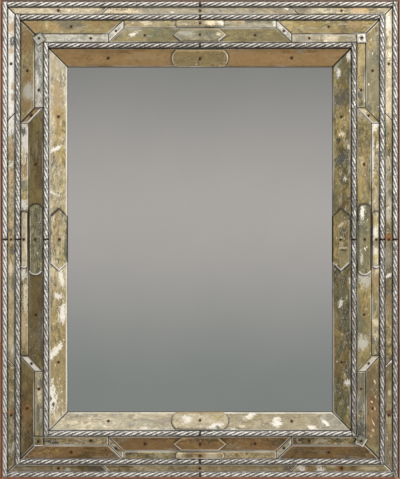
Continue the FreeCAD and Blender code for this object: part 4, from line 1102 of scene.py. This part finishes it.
# Its ceiling, ground and sides: the axis, where each starts and is full, and its light
ROOM_WALLS = (
    ("Z", 0.12, 0.6, (1.0, 0.95, 0.85, 1)),
    ("Z", -0.1, -0.45, (0.16, 0.12, 0.08, 1)),
    ("X", 0.15, 0.6, (0.8, 0.76, 0.68, 1)),
    ("X", -0.15, -0.6, (0.18, 0.17, 0.15, 1)),
)


def add_camera():
    data = bpy.data.cameras.new("camera")
    camera = bpy.data.objects.new("camera", data)
    bpy.context.scene.collection.objects.link(camera)
    camera.location = (0, FRONT_PLANE - CAMERA_DISTANCE, 0)
    camera.rotation_euler = (math.pi / 2, 0, 0)
    data.lens = data.sensor_width * CAMERA_DISTANCE / VIEW_HEIGHT
    data.clip_end = CLIP_END
    bpy.context.scene.camera = camera


def add_lamp(name, place, size, power, colour):
    """A round lamp that shines at the middle of the mirror."""
    data = bpy.data.lights.new(name, "AREA")
    data.shape = "DISK"
    data.size = size
    data.energy = power
    data.color = colour
    lamp = bpy.data.objects.new(name, data)
    bpy.context.scene.collection.objects.link(lamp)
    lamp.location = place
    lamp.rotation_euler = (-Vector(place)).to_track_quat("-Z", "Y").to_euler()
    lamp.visible_glossy = False


def add_floor():
    shape = bmesh.new()
    bmesh.ops.create_grid(shape, x_segments=1, y_segments=1, size=FLOOR_HALF)
    mesh = bpy.data.meshes.new("floor")
    shape.to_mesh(mesh)
    shape.free()
    floor = bpy.data.objects.new("floor", mesh)
    floor.location.z = cad_box[0].z
    bpy.context.scene.collection.objects.link(floor)
    floor.visible_glossy = False
    paint = Paint("floor")
    cloud = paint.noise(paint.place, scale=3)
    paint.surface(base_color=paint.mix(cloud, tone(226, 224, 220), tone(232, 230, 226)), roughness=0.8)
    mesh.materials.append(paint.material)


def add_world():
    """Pale for the camera, a plain grey for soft light, and a room of greys for what glass reflects."""
    world = bpy.data.worlds.new("studio")
    world.use_nodes = True
    bpy.context.scene.world = world
    sky = NodeTree(world.node_tree)
    parts = sky.split(sky.add("ShaderNodeTexCoord", {}, output="Generated"))
    height = parts["Z"]
    from_horizon = sky.math("ABSOLUTE", sky.math("SUBTRACT", height, HORIZON))
    room = sky.mix(sky.spread(height, -0.02, 0.02), LOW_GREY, HIGH_GREY)
    room = sky.mix(sky.spread(from_horizon, 0.0, HORIZON_REACH), BAND_GREY, room)
    for axis, start, full, light in ROOM_WALLS:
        room = sky.mix(sky.spread(parts[axis], start, full), room, light)
    soft = sky.mix(sky.spread(height, -0.5, 0.5), SOFT_LOW, SOFT_HIGH)
    rays = sky.tree.nodes.new("ShaderNodeLightPath").outputs
    shiny = sky.math("MAXIMUM", rays["Is Glossy Ray"], rays["Is Transmission Ray"])
    seen = sky.mix(rays["Is Camera Ray"], sky.mix(shiny, soft, room), PALE)
    sky.feed(sky.tree.nodes["Background"].inputs["Color"], seen)


dress_glass()
dress_rest()
for side in SIDES:
    for ring in RINGS:
        make_rope(side, ring)
add_camera()
add_floor()
add_world()
add_lamp("key", place=(1.2, -1.5, 2.2), size=0.8, power=90, colour=(1.0, 0.97, 0.92))
add_lamp("fill", place=(-1.6, -2.4, 0.4), size=1.6, power=12, colour=(0.95, 0.97, 1.0))
bpy.context.scene.view_settings.view_transform = "Standard"
